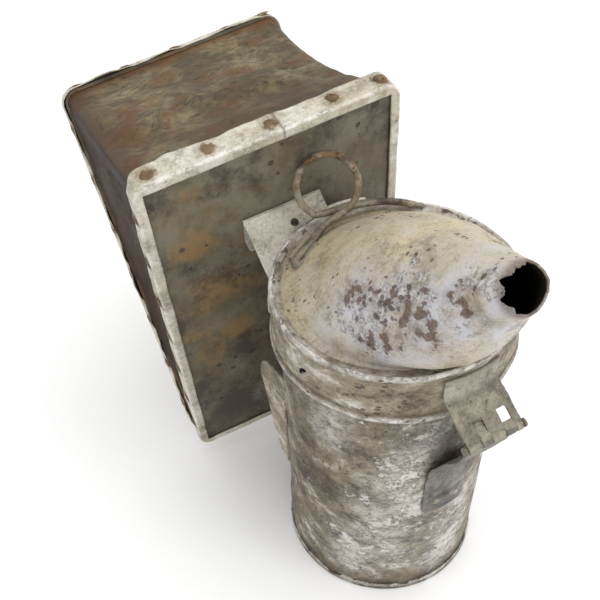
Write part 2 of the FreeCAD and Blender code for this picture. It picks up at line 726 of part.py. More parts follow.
NODES = {
    "fire_pot": fire_pot,
    "pot_base_cup": pot_base_cup,
    "pot_side_seam": pot_side_seam,
    "pot_air_tube": pot_air_tube,
    "fire_grate": fire_grate,
    "lid_collar": lid_collar,
    "lid_hood": lid_hood,
    "spout_lip": spout_lip,
    "ring_handle": ring_handle,
    "handle_lugs": handle_lugs,
    "hinge_upper_leaf": hinge_upper_leaf,
    "hinge_lower_leaf": hinge_lower_leaf,
    "hinge_pin": hinge_pin,
    "upper_leaf_rivets": lambda: hinge_rivets(COLLAR_R + LEAF_THICK + 0.1, ((-6.0, 176), (9.0, 176))),
    "lower_leaf_rivets": lambda: hinge_rivets(POT_R + LEAF_THICK + 0.15, ((-5.0, 84), (7.0, 84))),
    "upper_bracket": upper_bracket,
    "lower_bracket": lower_bracket,
    "bracket_rivets": bracket_rivets,
    "bracket_screws": bracket_screws,
    "front_board": lambda: seated(front_board()),
    "front_edge_strip": lambda: seated(edge_strip()),
    "front_strip_nails": lambda: seated(strip_nails()),
    "board_nozzle": lambda: seated(board_nozzle()),
    "back_board": lambda: seated(back_board()),
    "back_edge_strip": lambda: seated(to_back(edge_strip())),
    "back_strip_nails": lambda: seated(to_back(strip_nails())),
    "intake_guard": lambda: seated(intake_guard()),
    "intake_guard_tacks": lambda: seated(intake_guard_tacks()),
    "valve_flap": lambda: seated(valve_flap()),
    "valve_keeper": lambda: seated(valve_keeper()),
    "bellows_leather": lambda: seated(bellows_leather()),
    "bellows_spring": lambda: seated(bellows_spring()),
}


def main():
    """Builds every node and writes it to its own STEP file."""
    os.makedirs("parts", exist_ok=True)
    for name, make in NODES.items():
        shape = make()
        box = shape.BoundBox
        print(name, len(shape.Solids), shape.isValid(), round(shape.Volume, 1),
              [round(v, 1) for v in (box.XMin, box.YMin, box.ZMin, box.XMax, box.YMax, box.ZMax)])
        shape.exportStep("parts/" + name + ".step")


main()
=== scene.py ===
"""An old bee smoker of worn tin, wood and leather, standing on a pale studio floor."""

import json
import logging
import math
from dataclasses import dataclass
from enum import Enum

import bpy
import numpy as np
from mathutils import Matrix, Vector


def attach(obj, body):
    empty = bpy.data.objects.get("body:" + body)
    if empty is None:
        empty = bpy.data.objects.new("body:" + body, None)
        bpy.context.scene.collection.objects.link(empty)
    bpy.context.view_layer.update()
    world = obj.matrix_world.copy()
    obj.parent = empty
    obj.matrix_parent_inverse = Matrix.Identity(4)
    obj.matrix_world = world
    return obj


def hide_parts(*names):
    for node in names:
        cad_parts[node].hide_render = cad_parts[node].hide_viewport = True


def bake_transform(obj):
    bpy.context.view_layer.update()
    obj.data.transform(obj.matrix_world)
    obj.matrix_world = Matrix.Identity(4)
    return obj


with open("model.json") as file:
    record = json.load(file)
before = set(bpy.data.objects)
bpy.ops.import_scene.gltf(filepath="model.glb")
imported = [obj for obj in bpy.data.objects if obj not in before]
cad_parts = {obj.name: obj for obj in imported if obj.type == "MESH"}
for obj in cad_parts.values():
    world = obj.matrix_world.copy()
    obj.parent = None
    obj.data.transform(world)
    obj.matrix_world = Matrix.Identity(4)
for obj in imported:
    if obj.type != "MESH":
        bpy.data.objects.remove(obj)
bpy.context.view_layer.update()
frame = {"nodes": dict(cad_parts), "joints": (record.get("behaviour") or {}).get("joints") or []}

LOG = logging.getLogger("bee_smoker")
MM = 0.001
CAD_MARK = "cad_"


# ---------------------------------------------------------------- small numeric helpers

def srgb(code: str) -> tuple[float, float, float, float]:
    """Turns a colour code into the linear colour that shaders take.

    Args:
        code: Six hexadecimal digits, red first.

    Returns:
        Linear red, green, blue and an alpha of 1.
    """
    parts = [int(code[i:i + 2], 16) / 255 for i in (0, 2, 4)]
    linear = [c / 12.92 if c <= 0.04045 else ((c + 0.055) / 1.055) ** 2.4 for c in parts]
    return (linear[0], linear[1], linear[2], 1.0)


def smooth_step(x: np.ndarray, low: float, high: float) -> np.ndarray:
    """A smooth rise from 0 at low to 1 at high."""
    t = np.clip((x - low) / (high - low), 0.0, 1.0)
    return t * t * (3.0 - 2.0 * t)


def ripple(points: np.ndarray, size: float, seed: int, octaves: int = 3) -> np.ndarray:
    """A smooth random field: a sum of plane waves in seeded random directions.

    Args:
        points: Positions, with the coordinates in the last axis, in millimetres.
        size: Length of the largest waves, in millimetres.
        seed: Seed for the directions and phases.
        octaves: How many times the wave length is halved.

    Returns:
        One value for each point, mostly between -1 and 1.
    """
    rng = np.random.default_rng(seed)
    total = np.zeros(points.shape[:-1])
    height = 1.0
    for _ in range(octaves):
        for _ in range(7):
            direction = rng.normal(size=points.shape[-1])
            direction *= 2.0 * math.pi / (size * np.linalg.norm(direction)) * rng.uniform(0.6, 1.4)
            total += height * np.sin(points @ direction + rng.uniform(0, 2 * math.pi)) / 2.6
        height *= 0.5
        size *= 0.5
    return total


def near_line(points: np.ndarray, start: tuple, end: tuple, width: float) -> np.ndarray:
    """A soft mark that is 1 on a line between two points and fades out over this width."""
    a, b = np.array(start, float), np.array(end, float)
    along = np.clip(((points - a) @ (b - a)) / ((b - a) @ (b - a)), 0, 1)
    away = np.linalg.norm(points - a - along[..., None] * (b - a), axis=-1)
    return np.exp(-(away / width) ** 2)


def rotation(axis: Vector, degrees: float) -> np.ndarray:
    """The 3 x 3 matrix of a turn about an axis."""
    return np.array(Matrix.Rotation(math.radians(degrees), 3, axis))


def resample(line: np.ndarray, step: float) -> np.ndarray:
    """Spaces points evenly along a polyline.

    Args:
        line: Corner points, one row each.
        step: Wanted spacing, in the line's own unit.

    Returns:
        Points at an even spacing close to step, the ends kept.
    """
    lengths = np.concatenate([[0.0], np.cumsum(np.linalg.norm(np.diff(line, axis=0), axis=1))])
    count = max(2, int(round(lengths[-1] / step)) + 1)
    at = np.linspace(0.0, lengths[-1], count)
    return np.stack([np.interp(at, lengths, line[:, k]) for k in range(line.shape[1])], axis=1)


def smooth_curve(points: np.ndarray, step: float) -> np.ndarray:
    """A smooth line through points, as a Catmull-Rom spline sampled evenly."""
    padded = np.vstack([2 * points[0] - points[1], points, 2 * points[-1] - points[-2]])
    t = np.linspace(0, 1, 12, endpoint=False)[:, None]
    spans = []
    for p0, p1, p2, p3 in zip(padded, padded[1:], padded[2:], padded[3:]):
        spans.append(0.5 * (2 * p1 + (p2 - p0) * t + (2 * p0 - 5 * p1 + 4 * p2 - p3) * t ** 2
                            + (3 * p1 - p0 - 3 * p2 + p3) * t ** 3))
    spans.append(points[-1:])
    return resample(np.vstack(spans), step)


# ---------------------------------------------------------------- meshes

def grid_mesh(name: str, points: np.ndarray, closed: bool = False, keep: np.ndarray | None = None,
              marks: dict[str, np.ndarray] | None = None) -> bpy.types.Object:
    """Makes a smooth mesh from a grid of points.

    Args:
        name: The object's name.
        points: Rows x columns x 3, in millimetres. Faces look out when the columns run
            anticlockwise about the outward direction as the rows go up.
        closed: True where the last column joins the first.
        keep: One flag for each face, False where the sheet is eaten away.
        marks: Named values of the points, from 0 to 1, for the finish to read.

    Returns:
        The object, linked to the scene, its place in its vertices.
    """
    rows, cols = points.shape[:2]
    index = np.arange(rows * cols).reshape(rows, cols)
    right = np.roll(index, -1, axis=1) if closed else index[:, 1:]
    left = index if closed else index[:, :-1]
    quads = np.stack([left[:-1], right[:-1], right[1:], left[1:]], axis=-1)
    if keep is not None:
        quads = quads[keep]
    quads = quads.reshape(-1, 4)
    mesh = bpy.data.meshes.new(name)
    used, inverse = np.unique(quads, return_inverse=True)
    mesh.from_pydata((points.reshape(-1, 3)[used] * MM).tolist(), [], inverse.reshape(-1, 4).tolist())
    for key, values in (marks or {}).items():
        attribute = mesh.attributes.new(key, "FLOAT", "POINT")
        attribute.data.foreach_set("value", values.reshape(-1)[used].astype(np.float32))
    mesh.polygons.foreach_set("use_smooth", [True] * len(mesh.polygons))
    mesh.update()
    made = bpy.data.objects.new(name, mesh)
    bpy.context.scene.collection.objects.link(made)
    return made


def swept(line: np.ndarray, radius: np.ndarray, sides: int, squash: np.ndarray | None = None) -> np.ndarray:
    """The points of a round bar along a line, closed to a point at both ends.

    Args:
        line: Centre points in millimetres.
        radius: The bar's radius at each centre point.
        sides: Points round the bar.
        squash: Height share across the bar at each point, 1 where it is round.

    Returns:
        A grid of points, one row for each centre point and two more to close each end.
    """
    tangent = np.gradient(line, axis=0)
    tangent /= np.linalg.norm(tangent, axis=1)[:, None]
    side = np.zeros_like(line)
    hint = np.array([0.0, 0.0, 1.0]) if abs(tangent[0][2]) < 0.9 else np.array([1.0, 0.0, 0.0])
    for k, direction in enumerate(tangent):
        hint = hint - direction * (hint @ direction)
        hint /= np.linalg.norm(hint)
        side[k] = hint
    other = np.cross(tangent, side)
    angle = np.linspace(0, 2 * math.pi, sides, endpoint=False)
    flat = np.ones(len(line)) if squash is None else squash
    ring = (side[:, None, :] * np.cos(angle)[None, :, None] * flat[:, None, None]
            + other[:, None, :] * np.sin(angle)[None, :, None])
    body = line[:, None, :] + ring * radius[:, None, None]
    start = line[0] + 0.75 * (body[0] - line[0]) - tangent[0] * radius[0] * 0.5
    tip = np.repeat((line[0] - tangent[0] * radius[0] * 0.7)[None], sides, axis=0)
    end = line[-1] + 0.75 * (body[-1] - line[-1]) + tangent[-1] * radius[-1] * 0.5
    last = np.repeat((line[-1] + tangent[-1] * radius[-1] * 0.7)[None], sides, axis=0)
    return np.concatenate([tip[None], start[None], body, end[None], last[None]])


def add_solidify(piece: bpy.types.Object, thick: float, inner_slot: bool = False) -> None:
    """Gives a sheet its thickness, inwards from the surface.

    Args:
        piece: The sheet.
        thick: Thickness in millimetres.
        inner_slot: True where the inside takes the second material slot.
    """
    modifier = piece.modifiers.new("thickness", "SOLIDIFY")
    modifier.thickness = thick * MM
    modifier.offset = -1.0
    modifier.use_even_offset = False
    if inner_slot:
        modifier.material_offset = 1


def add_rounding(piece: bpy.types.Object, width: float) -> None:
    """Rounds the sharp edges of a piece by a bevel of this many millimetres."""
    modifier = piece.modifiers.new("rounding", "BEVEL")
    modifier.width = width * MM
    modifier.segments = 2
    modifier.limit_method = "ANGLE"


# ---------------------------------------------------------------- shader groups

class Shader:
    """A thin helper that adds and joins nodes in one node tree."""

    def __init__(self, tree: bpy.types.NodeTree) -> None:
        self.tree = tree

    def add(self, kind: str, values: dict | None = None, **settings) -> bpy.types.Node:
        """Adds a node, sets its properties, then sets or joins its inputs.

        Args:
            kind: The node's type name.
            values: Inputs by name or number, each a constant or another node's output.
            **settings: Properties of the node itself.

        Returns:
            The node.
        """
        node = self.tree.nodes.new(kind)
        for key, value in settings.items():
            setattr(node, key, value)
        for key, value in (values or {}).items():
            self.give(node.inputs[key], value)
        return node

    def give(self, socket: bpy.types.NodeSocket, value) -> None:
        """Joins another node's output to an input, or sets it to a constant."""
        if isinstance(value, bpy.types.NodeSocket):
            self.tree.links.new(value, socket)
        else:
            socket.default_value = value

    def noise(self, vector, scale: float, detail: float = 6.0, rough: float = 0.6, warp: float = 0.0):
        """The value of a fractal noise at a vector."""
        node = self.add("ShaderNodeTexNoise", {"Vector": vector, "Scale": scale, "Detail": detail,
                                               "Roughness": rough, "Distortion": warp})
        return node.outputs["Fac"]

    def ramp(self, value, low: float, high: float, to_low: float = 0.0, to_high: float = 1.0):
        """Maps a value's range smoothly to another."""
        node = self.add("ShaderNodeMapRange", {"Value": value, "From Min": low, "From Max": high,
                                               "To Min": to_low, "To Max": to_high},
                        interpolation_type="SMOOTHSTEP")
        return node.outputs["Result"]

    def math(self, operation: str, a, b=0.0, clamp: bool = False):
        """One arithmetic step."""
        node = self.add("ShaderNodeMath", {0: a, 1: b}, operation=operation, use_clamp=clamp)
        return node.outputs[0]

    def mix(self, factor, a, b):
        """A colour between a and b."""
        node = self.add("ShaderNodeMix", {"Factor": factor}, data_type="RGBA")
        for socket in node.inputs:
            if socket.type == "RGBA":
                self.give(socket, a if socket.name == "A" else b)
        return next(socket for socket in node.outputs if socket.type == "RGBA")

    def stretch(self, vector, by: tuple[float, float, float], move: float = 0.0):
        """A vector stretched along each axis and moved."""
        node = self.add("ShaderNodeMapping", {"Vector": vector, "Scale": by, "Location": (move, move, move)})
        return node.outputs["Vector"]


def new_group(name: str, inputs: list[tuple[str, str, object]], outputs: list[tuple[str, str]]) -> tuple:
    """Starts a shader node group with named inputs and outputs.

    Args:
        name: The group's name.
        inputs: Name, socket type and default value of each input.
        outputs: Name and socket type of each output.

    Returns:
        The group, its Shader helper, its input node's outputs and its output node.
    """
    group = bpy.data.node_groups.new(name, "ShaderNodeTree")
    for label, kind, default in inputs:
        socket = group.interface.new_socket(name=label, in_out="INPUT", socket_type=kind)
        if default is not None:
            socket.default_value = default
    for label, kind in outputs:
        group.interface.new_socket(name=label, in_out="OUTPUT", socket_type=kind)
    shader = Shader(group)
    source = shader.add("NodeGroupInput")
    return group, shader, source.outputs, shader.add("NodeGroupOutput")


def make_flaking_group() -> bpy.types.NodeTree:
    """Builds the effect of old coating: ragged patches, some of it worn off, that stand a little proud."""
    group, s, given, out = new_group(
        "flaked_coating",
        [("Vector", "NodeSocketVector", None), ("Amount", "NodeSocketFloat", 0.4),
         ("Size", "NodeSocketFloat", 60.0)],
        [("Mask", "NodeSocketFloat"), ("Edge", "NodeSocketFloat")])
    broad = s.noise(given["Vector"], 1.0, 4.0, 0.6)
    s.tree.links.new(given["Size"], broad.node.inputs["Scale"])
    fine = s.noise(given["Vector"], 230.0, 12.0, 0.8)
    field = s.math("ADD", s.math("MULTIPLY", broad, 0.45), s.math("MULTIPLY", fine, 0.55))
    level = s.math("SUBTRACT", 0.72, s.math("MULTIPLY", given["Amount"], 0.42))
    over = s.math("SUBTRACT", field, level)
    s.tree.links.new(s.ramp(over, -0.012, 0.028), out.inputs["Mask"])
    s.tree.links.new(s.ramp(s.math("ABSOLUTE", over), 0.016, 0.0), out.inputs["Edge"])
    return group


def make_pitting_group() -> bpy.types.NodeTree:
    """Builds the effect of small round corrosion pits, thick in some areas and rare in others."""
    group, s, given, out = new_group(
        "corrosion_pits",
        [("Vector", "NodeSocketVector", None), ("Amount", "NodeSocketFloat", 0.4),
         ("Density", "NodeSocketFloat", 300.0)],
        [("Mask", "NodeSocketFloat")])
    warped = s.add("ShaderNodeTexNoise", {"Vector": given["Vector"], "Scale": 260.0, "Detail": 3.0})
    shift = s.add("ShaderNodeVectorMath", {0: warped.outputs["Color"], 1: (0.0025, 0.0025, 0.0025)},
                  operation="MULTIPLY")
    moved = s.add("ShaderNodeVectorMath", {0: given["Vector"], 1: shift.outputs[0]}, operation="ADD")
    cells = s.add("ShaderNodeTexVoronoi", {"Vector": moved.outputs[0], "Scale": 300.0})
    s.tree.links.new(given["Density"], cells.inputs["Scale"])
    area = s.ramp(s.noise(given["Vector"], 45.0, 4.0), 0.42, 0.66)
    reach = s.math("MULTIPLY", s.math("MULTIPLY", area, given["Amount"]), 0.55)
    depth = s.math("SUBTRACT", reach, cells.outputs["Distance"])
    s.tree.links.new(s.ramp(depth, 0.0, 0.1), out.inputs["Mask"])
    return group


def make_aged_metal_group(flaking: bpy.types.NodeTree, pitting: bpy.types.NodeTree) -> bpy.types.NodeTree:
    """Builds the whole look of weathered tin plate from mottling, flakes, pits, rust, grime and painted
    shade.
    """
    group, s, given, out = new_group(
        "aged_metal",
        [("Vector", "NodeSocketVector", None), ("Base", "NodeSocketColor", srgb("8c7b6c")),
         ("Mottle", "NodeSocketColor", srgb("5e5b53")), ("Flake", "NodeSocketColor", srgb("cfccc4")),
         ("Rust", "NodeSocketColor", srgb("6b4a2c")), ("Grime", "NodeSocketColor", srgb("4a443b")),
         ("Mottle Amount", "NodeSocketFloat", 0.5), ("Flake Amount", "NodeSocketFloat", 0.4),
         ("Flake Size", "NodeSocketFloat", 60.0), ("Pit Amount", "NodeSocketFloat", 0.4),
         ("Rust Amount", "NodeSocketFloat", 0.2), ("Stain Amount", "NodeSocketFloat", 0.5),
         ("Grime Mark", "NodeSocketFloat", 0.0), ("Rust Mark", "NodeSocketFloat", 0.0),
         ("Wear Mark", "NodeSocketFloat", 0.0)],
        [("Color", "NodeSocketColor"), ("Roughness", "NodeSocketFloat"), ("Metallic", "NodeSocketFloat"),
         ("Height", "NodeSocketFloat")])
    vector = given["Vector"]
    cloud = s.noise(vector, 38.0, 8.0, 0.66, 0.1)
    spread = s.ramp(cloud, 0.34, 0.66)
    color = s.mix(s.math("MULTIPLY", spread, given["Mottle Amount"], True), given["Base"], given["Mottle"])
    speckle = s.noise(vector, 800.0, 5.0, 0.75)
    color = s.mix(s.ramp(speckle, 0.48, 0.68, 0.0, 0.45), color, given["Grime"])
    stain = s.noise(s.stretch(vector, (1, 1, 1), 8.3), 60.0, 12.0, 0.78, 0.1)
    color = s.mix(s.math("MULTIPLY", s.ramp(stain, 0.48, 0.62), given["Stain Amount"]), color, given["Grime"])
    color = s.mix(s.math("MULTIPLY", s.ramp(stain, 0.48, 0.34), given["Stain Amount"]), color, given["Flake"])
    soft = s.math("MULTIPLY", given["Wear Mark"], s.ramp(stain, 0.64, 0.44, 0.3, 1.3), True)
    color = s.mix(soft, color, given["Flake"])
    line = s.math("ABSOLUTE", s.math("SUBTRACT", s.noise(vector, 75.0, 6.0, 0.66, 0.5), 0.5))
    crack = s.math("MULTIPLY", s.ramp(line, 0.006, 0.0), s.math("MULTIPLY", s.ramp(stain, 0.42, 0.56),
                                                                given["Stain Amount"]))
    color = s.mix(s.math("MULTIPLY", crack, 0.6), color, given["Grime"])
    rust_field = s.math("ADD", s.noise(s.stretch(vector, (1, 1, 1), 3.7), 30.0, 9.0, 0.7),
                        s.math("MULTIPLY", given["Rust Amount"], 0.3))
    rust = s.math("MULTIPLY", s.ramp(rust_field, 0.62, 0.74), s.ramp(given["Rust Amount"], 0.0, 0.3), True)
    mark = s.math("MULTIPLY", given["Rust Mark"], s.ramp(speckle, 0.35, 0.62, 0.1, 1.1), True)
    rust_all = s.math("MAXIMUM", rust, mark)
    color = s.mix(s.math("MULTIPLY", rust_all, 0.85), color, given["Rust"])
    flakes = s.add("ShaderNodeGroup", node_tree=flaking)
    s.tree.links.new(vector, flakes.inputs["Vector"])
    worn = s.math("ADD", given["Flake Amount"], s.math("MULTIPLY", given["Wear Mark"], 0.28))
    clean = s.math("SUBTRACT", worn, s.math("MULTIPLY", given["Rust Mark"], 0.3))
    s.tree.links.new(clean, flakes.inputs["Amount"])
    s.tree.links.new(given["Flake Size"], flakes.inputs["Size"])
    shade = s.mix(s.ramp(s.noise(vector, 150.0, 4.0), 0.3, 0.7, 0.0, 0.4), given["Flake"], given["Base"])
    color = s.mix(s.math("MULTIPLY", flakes.outputs["Mask"], 0.95), color, shade)
    color = s.mix(s.math("MULTIPLY", flakes.outputs["Edge"], 0.45), color, given["Grime"])
    scabs = s.add("ShaderNodeGroup", {"Size": 210.0}, node_tree=flaking)
    s.tree.links.new(s.stretch(vector, (1, 1, 1), 6.1), scabs.inputs["Vector"])
    worn_away = s.math("MULTIPLY", given["Wear Mark"], 0.4)
    worst = s.math("ADD", worn_away, s.math("MULTIPLY", given["Rust Mark"], 0.62))
    s.tree.links.new(s.math("SUBTRACT", worst, 0.1), scabs.inputs["Amount"])
    scab_tone = s.mix(s.ramp(speckle, 0.4, 0.6), given["Rust"], given["Grime"])
    color = s.mix(s.math("MULTIPLY", scabs.outputs["Mask"], 0.85), color, scab_tone)
    color = s.mix(s.math("MULTIPLY", scabs.outputs["Edge"], 0.6), color, given["Grime"])
    pits = s.add("ShaderNodeGroup", node_tree=pitting)
    s.tree.links.new(vector, pits.inputs["Vector"])
    s.tree.links.new(given["Pit Amount"], pits.inputs["Amount"])
    color = s.mix(s.math("MULTIPLY", pits.outputs["Mask"], 0.8), color, given["Grime"])
    # dirt and painted shade, from each piece's own marks, darken the colour towards the grime colour
    dirt_and_shade = s.math("MULTIPLY", given["Grime Mark"], s.ramp(cloud, 0.2, 0.6, 0.6, 1.1), True)
    color = s.mix(dirt_and_shade, color, given["Grime"])
    s.tree.links.new(color, out.inputs["Color"])
    rough = s.math("ADD", s.ramp(cloud, 0.3, 0.7, 0.5, 0.72), s.math("MULTIPLY", rust_all, 0.2), True)
    s.tree.links.new(rough, out.inputs["Roughness"])
    s.tree.links.new(s.ramp(rust_all, 0.0, 0.6, 0.22, 0.0), out.inputs["Metallic"])
    height = s.math("ADD", s.math("MULTIPLY", flakes.outputs["Mask"], 0.5), s.math("MULTIPLY", cloud, 0.5))
    height = s.math("ADD", height, s.math("MULTIPLY", speckle, 0.7))
    height = s.math("SUBTRACT", height, s.math("MULTIPLY", stain, 0.8))
    height = s.math("SUBTRACT", height, s.math("MULTIPLY", pits.outputs["Mask"], 0.9))
    height = s.math("SUBTRACT", height, s.math("MULTIPLY", scabs.outputs["Mask"], 0.5))
    height = s.math("SUBTRACT", height, s.math("MULTIPLY", crack, 0.6))
    height = s.math("ADD", height, s.math("MULTIPLY", rust_all, s.math("MULTIPLY", speckle, 1.2)))
    s.tree.links.new(height, out.inputs["Height"])
    return group


def make_hide_group() -> bpy.types.NodeTree:
    """Builds the look of perished leather: fibres, creases, stains and dark cracks."""
    group, s, given, out = new_group(
        "perished_hide",
        [("Vector", "NodeSocketVector", None), ("Base", "NodeSocketColor", srgb("706448")),
         ("Pale", "NodeSocketColor", srgb("9a8f74")), ("Dark", "NodeSocketColor", srgb("33241a")),
         ("Rust", "NodeSocketColor", srgb("6a4220")), ("Dark Mark", "NodeSocketFloat", 0.0),
         ("Rust Mark", "NodeSocketFloat", 0.0)],
        [("Color", "NodeSocketColor"), ("Roughness", "NodeSocketFloat"), ("Height", "NodeSocketFloat")])
    vector = given["Vector"]
    fibre = s.noise(s.stretch(vector, (0.6, 1.0, 1.0)), 300.0, 12.0, 0.8, 0.5)
    cloud = s.noise(vector, 34.0, 12.0, 0.74, 0.4)
    color = s.mix(s.ramp(cloud, 0.42, 0.62), given["Base"], given["Pale"])
    color = s.mix(s.ramp(fibre, 0.55, 0.36, 0.0, 0.85), color, given["Dark"])
    stain = s.noise(s.stretch(vector, (1, 1, 1), 1.3), 24.0, 10.0, 0.72, 0.4)
    rusty = s.math("MAXIMUM", s.ramp(stain, 0.5, 0.64, 0.0, 0.7),
                   s.math("MULTIPLY", given["Rust Mark"], s.ramp(fibre, 0.35, 0.6, 0.3, 1.1), True))
    color = s.mix(rusty, color, given["Rust"])
    # the dark mark darkens the leather: stains, and painted shade on the gusset's sides
    color = s.mix(s.math("MULTIPLY", given["Dark Mark"], s.ramp(cloud, 0.2, 0.6, 0.7, 1.0), True), color,
                  given["Dark"])
    s.tree.links.new(color, out.inputs["Color"])
    s.tree.links.new(s.ramp(fibre, 0.3, 0.7, 0.62, 0.88), out.inputs["Roughness"])
    s.tree.links.new(s.math("ADD", s.math("MULTIPLY", fibre, 1.0), s.math("MULTIPLY", cloud, 0.7)),
                     out.inputs["Height"])
    return group


def make_timber_group() -> bpy.types.NodeTree:
    """Builds the look of old painted board: long grain, stains, ochre patches and dark spots."""
    group, s, given, out = new_group(
        "stained_board",
        [("Vector", "NodeSocketVector", None), ("Base", "NodeSocketColor", srgb("645846")),
         ("Pale", "NodeSocketColor", srgb("858379")), ("Ochre", "NodeSocketColor", srgb("7d6242")),
         ("Dark", "NodeSocketColor", srgb("3a332b")), ("Stain Place", "NodeSocketVector", (0.0, 0.0, 0.0)),
         ("Stain Size", "NodeSocketFloat", 0.03)],
        [("Color", "NodeSocketColor"), ("Roughness", "NodeSocketFloat"), ("Height", "NodeSocketFloat")])
    vector = given["Vector"]
    cloud = s.noise(vector, 22.0, 12.0, 0.72, 0.3)
    color = s.mix(s.ramp(cloud, 0.44, 0.62, 0.0, 0.8), given["Base"], given["Pale"])
    patch = s.noise(s.stretch(vector, (1, 1, 1), 5.1), 21.0, 9.0, 0.66)
    away = s.add("ShaderNodeVectorMath", {0: vector, 1: given["Stain Place"]}, operation="DISTANCE")
    near = s.math("SUBTRACT", 1.0, s.math("DIVIDE", away.outputs["Value"], given["Stain Size"]), True)
    field = s.math("ADD", patch, s.math("MULTIPLY", near, 0.22))
    color = s.mix(s.ramp(field, 0.53, 0.64, 0.0, 0.75), color, given["Ochre"])
    shade = s.noise(s.stretch(vector, (1, 1, 1), 2.4), 28.0, 12.0, 0.74)
    color = s.mix(s.ramp(shade, 0.47, 0.62, 0.0, 0.8), color, given["Dark"])
    cells = s.add("ShaderNodeTexVoronoi", {"Vector": vector, "Scale": 150.0})
    area = s.ramp(s.noise(vector, 40.0, 3.0), 0.45, 0.65, 0.0, 0.36)
    spots = s.ramp(s.math("SUBTRACT", area, cells.outputs["Distance"]), 0.0, 0.06)
    color = s.mix(s.math("MULTIPLY", spots, 0.8), color, given["Dark"])
    grain = s.noise(s.stretch(vector, (1.0, 1.0, 0.12)), 700.0, 5.0, 0.7)
    color = s.mix(s.ramp(grain, 0.3, 0.75, 0.0, 0.1), color, given["Dark"])
    specks = s.noise(vector, 650.0, 4.0, 0.7)
    color = s.mix(s.ramp(specks, 0.58, 0.72, 0.0, 0.5), color, given["Pale"])
    color = s.mix(s.ramp(specks, 0.42, 0.3, 0.0, 0.5), color, given["Dark"])
    s.tree.links.new(color, out.inputs["Color"])
    s.tree.links.new(s.ramp(cloud, 0.3, 0.7, 0.5, 0.75), out.inputs["Roughness"])
    height = s.math("SUBTRACT", s.math("MULTIPLY", grain, 0.5), s.math("MULTIPLY", spots, 0.7))
    s.tree.links.new(s.math("ADD", height, s.math("MULTIPLY", cloud, 0.4)), out.inputs["Height"])
    return group


class Effects:
    """The shared node groups, built once."""

    def __init__(self) -> None:
        self.metal = make_aged_metal_group(make_flaking_group(), make_pitting_group())
        self.hide = make_hide_group()
        self.timber = make_timber_group()


# ---------------------------------------------------------------- finishes

class Surface(Enum):
    """Where a finish reads its positions from."""

    OBJECT = "Object"
    REST = "rest_place"


def start_material(name: str, surface: Surface) -> tuple:
    """Starts a material and gives its helper, its Principled node and its position vector."""
    material = bpy.data.materials.new(name)
    material.use_nodes = True
    shader = Shader(material.node_tree)
    principled = material.node_tree.nodes["Principled BSDF"]
    if surface is Surface.REST:
        vector = shader.add("ShaderNodeAttribute", attribute_name=surface.value).outputs["Vector"]
    else:
        vector = shader.add("ShaderNodeTexCoord").outputs["Object"]
    return material, shader, principled, vector


def add_bump(shader: Shader, principled: bpy.types.Node, height, depth: float) -> None:
    """Joins a height to the Principled node through a bump of this depth in millimetres."""
    bump = shader.add("ShaderNodeBump", {"Height": height, "Strength": 1.0, "Distance": depth * MM})
    shader.tree.links.new(bump.outputs["Normal"], principled.inputs["Normal"])


def use_effect(shader: Shader, principled: bpy.types.Node, effect: bpy.types.NodeTree, values: dict,
               depth: float) -> None:
    """Adds a shared effect and joins all that it gives to the Principled node.

    Args:
        shader: The material's helper.
        principled: Its Principled node.
        effect: The node group.
        values: The group's inputs.
        depth: Depth of the bump in millimetres.
    """
    group = shader.add("ShaderNodeGroup", values, node_tree=effect)
    for given, wanted in (("Color", "Base Color"), ("Roughness", "Roughness"), ("Metallic", "Metallic")):
        if given in group.outputs:
            shader.tree.links.new(group.outputs[given], principled.inputs[wanted])
    add_bump(shader, principled, group.outputs["Height"], depth)


@dataclass(frozen=True)
class AgedMetal:
    """A weathered metal finish. The marks are read from each piece's own values for dirt and painted shade,
    rust and wear.
    """

    name: str
    base: str
    mottle: str
    flake: str
    rust: str = "6b4a2c"
    grime: str = "4a443b"
    mottle_amount: float = 0.5
    flake_amount: float = 0.4
    flake_size: float = 60.0
    pit_amount: float = 0.4
    rust_amount: float = 0.1
    stain_amount: float = 0.6
    stretch: tuple[float, float, float] = (1.0, 1.0, 1.0)
    bump: float = 0.5

    def build(self, effects: Effects) -> bpy.types.Material:
        """Makes the material."""
        material, s, principled, vector = start_material(self.name, Surface.OBJECT)
        values = {"Vector": s.stretch(vector, self.stretch), "Base": srgb(self.base),
                  "Mottle": srgb(self.mottle), "Flake": srgb(self.flake), "Rust": srgb(self.rust),
                  "Grime": srgb(self.grime), "Mottle Amount": self.mottle_amount,
                  "Flake Amount": self.flake_amount, "Flake Size": self.flake_size,
                  "Pit Amount": self.pit_amount, "Rust Amount": self.rust_amount,
                  "Stain Amount": self.stain_amount}
        for label, key in (("Grime Mark", "grime"), ("Rust Mark", "rust"), ("Wear Mark", "wear")):
            values[label] = s.add("ShaderNodeAttribute", attribute_name=key).outputs["Fac"]
        use_effect(s, principled, effects.metal, values, self.bump)
        return material


@dataclass(frozen=True)
class Hide:
    """A leather finish that keeps its pattern as the piece bends."""

    name: str
    base: str
    pale: str
    dark: str = "2c1d14"
    rust: str = "6a4220"
    bump: float = 0.8
    surface: Surface = Surface.REST

    def build(self, effects: Effects) -> bpy.types.Material:
        """Makes the material."""
        material, s, principled, vector = start_material(self.name, self.surface)
        values = {"Vector": vector, "Base": srgb(self.base), "Pale": srgb(self.pale),
                  "Dark": srgb(self.dark), "Rust": srgb(self.rust)}
        for label, key in (("Dark Mark", "grime"), ("Rust Mark", "rust")):
            values[label] = s.add("ShaderNodeAttribute", attribute_name=key).outputs["Fac"]
        use_effect(s, principled, effects.hide, values, self.bump)
        return material


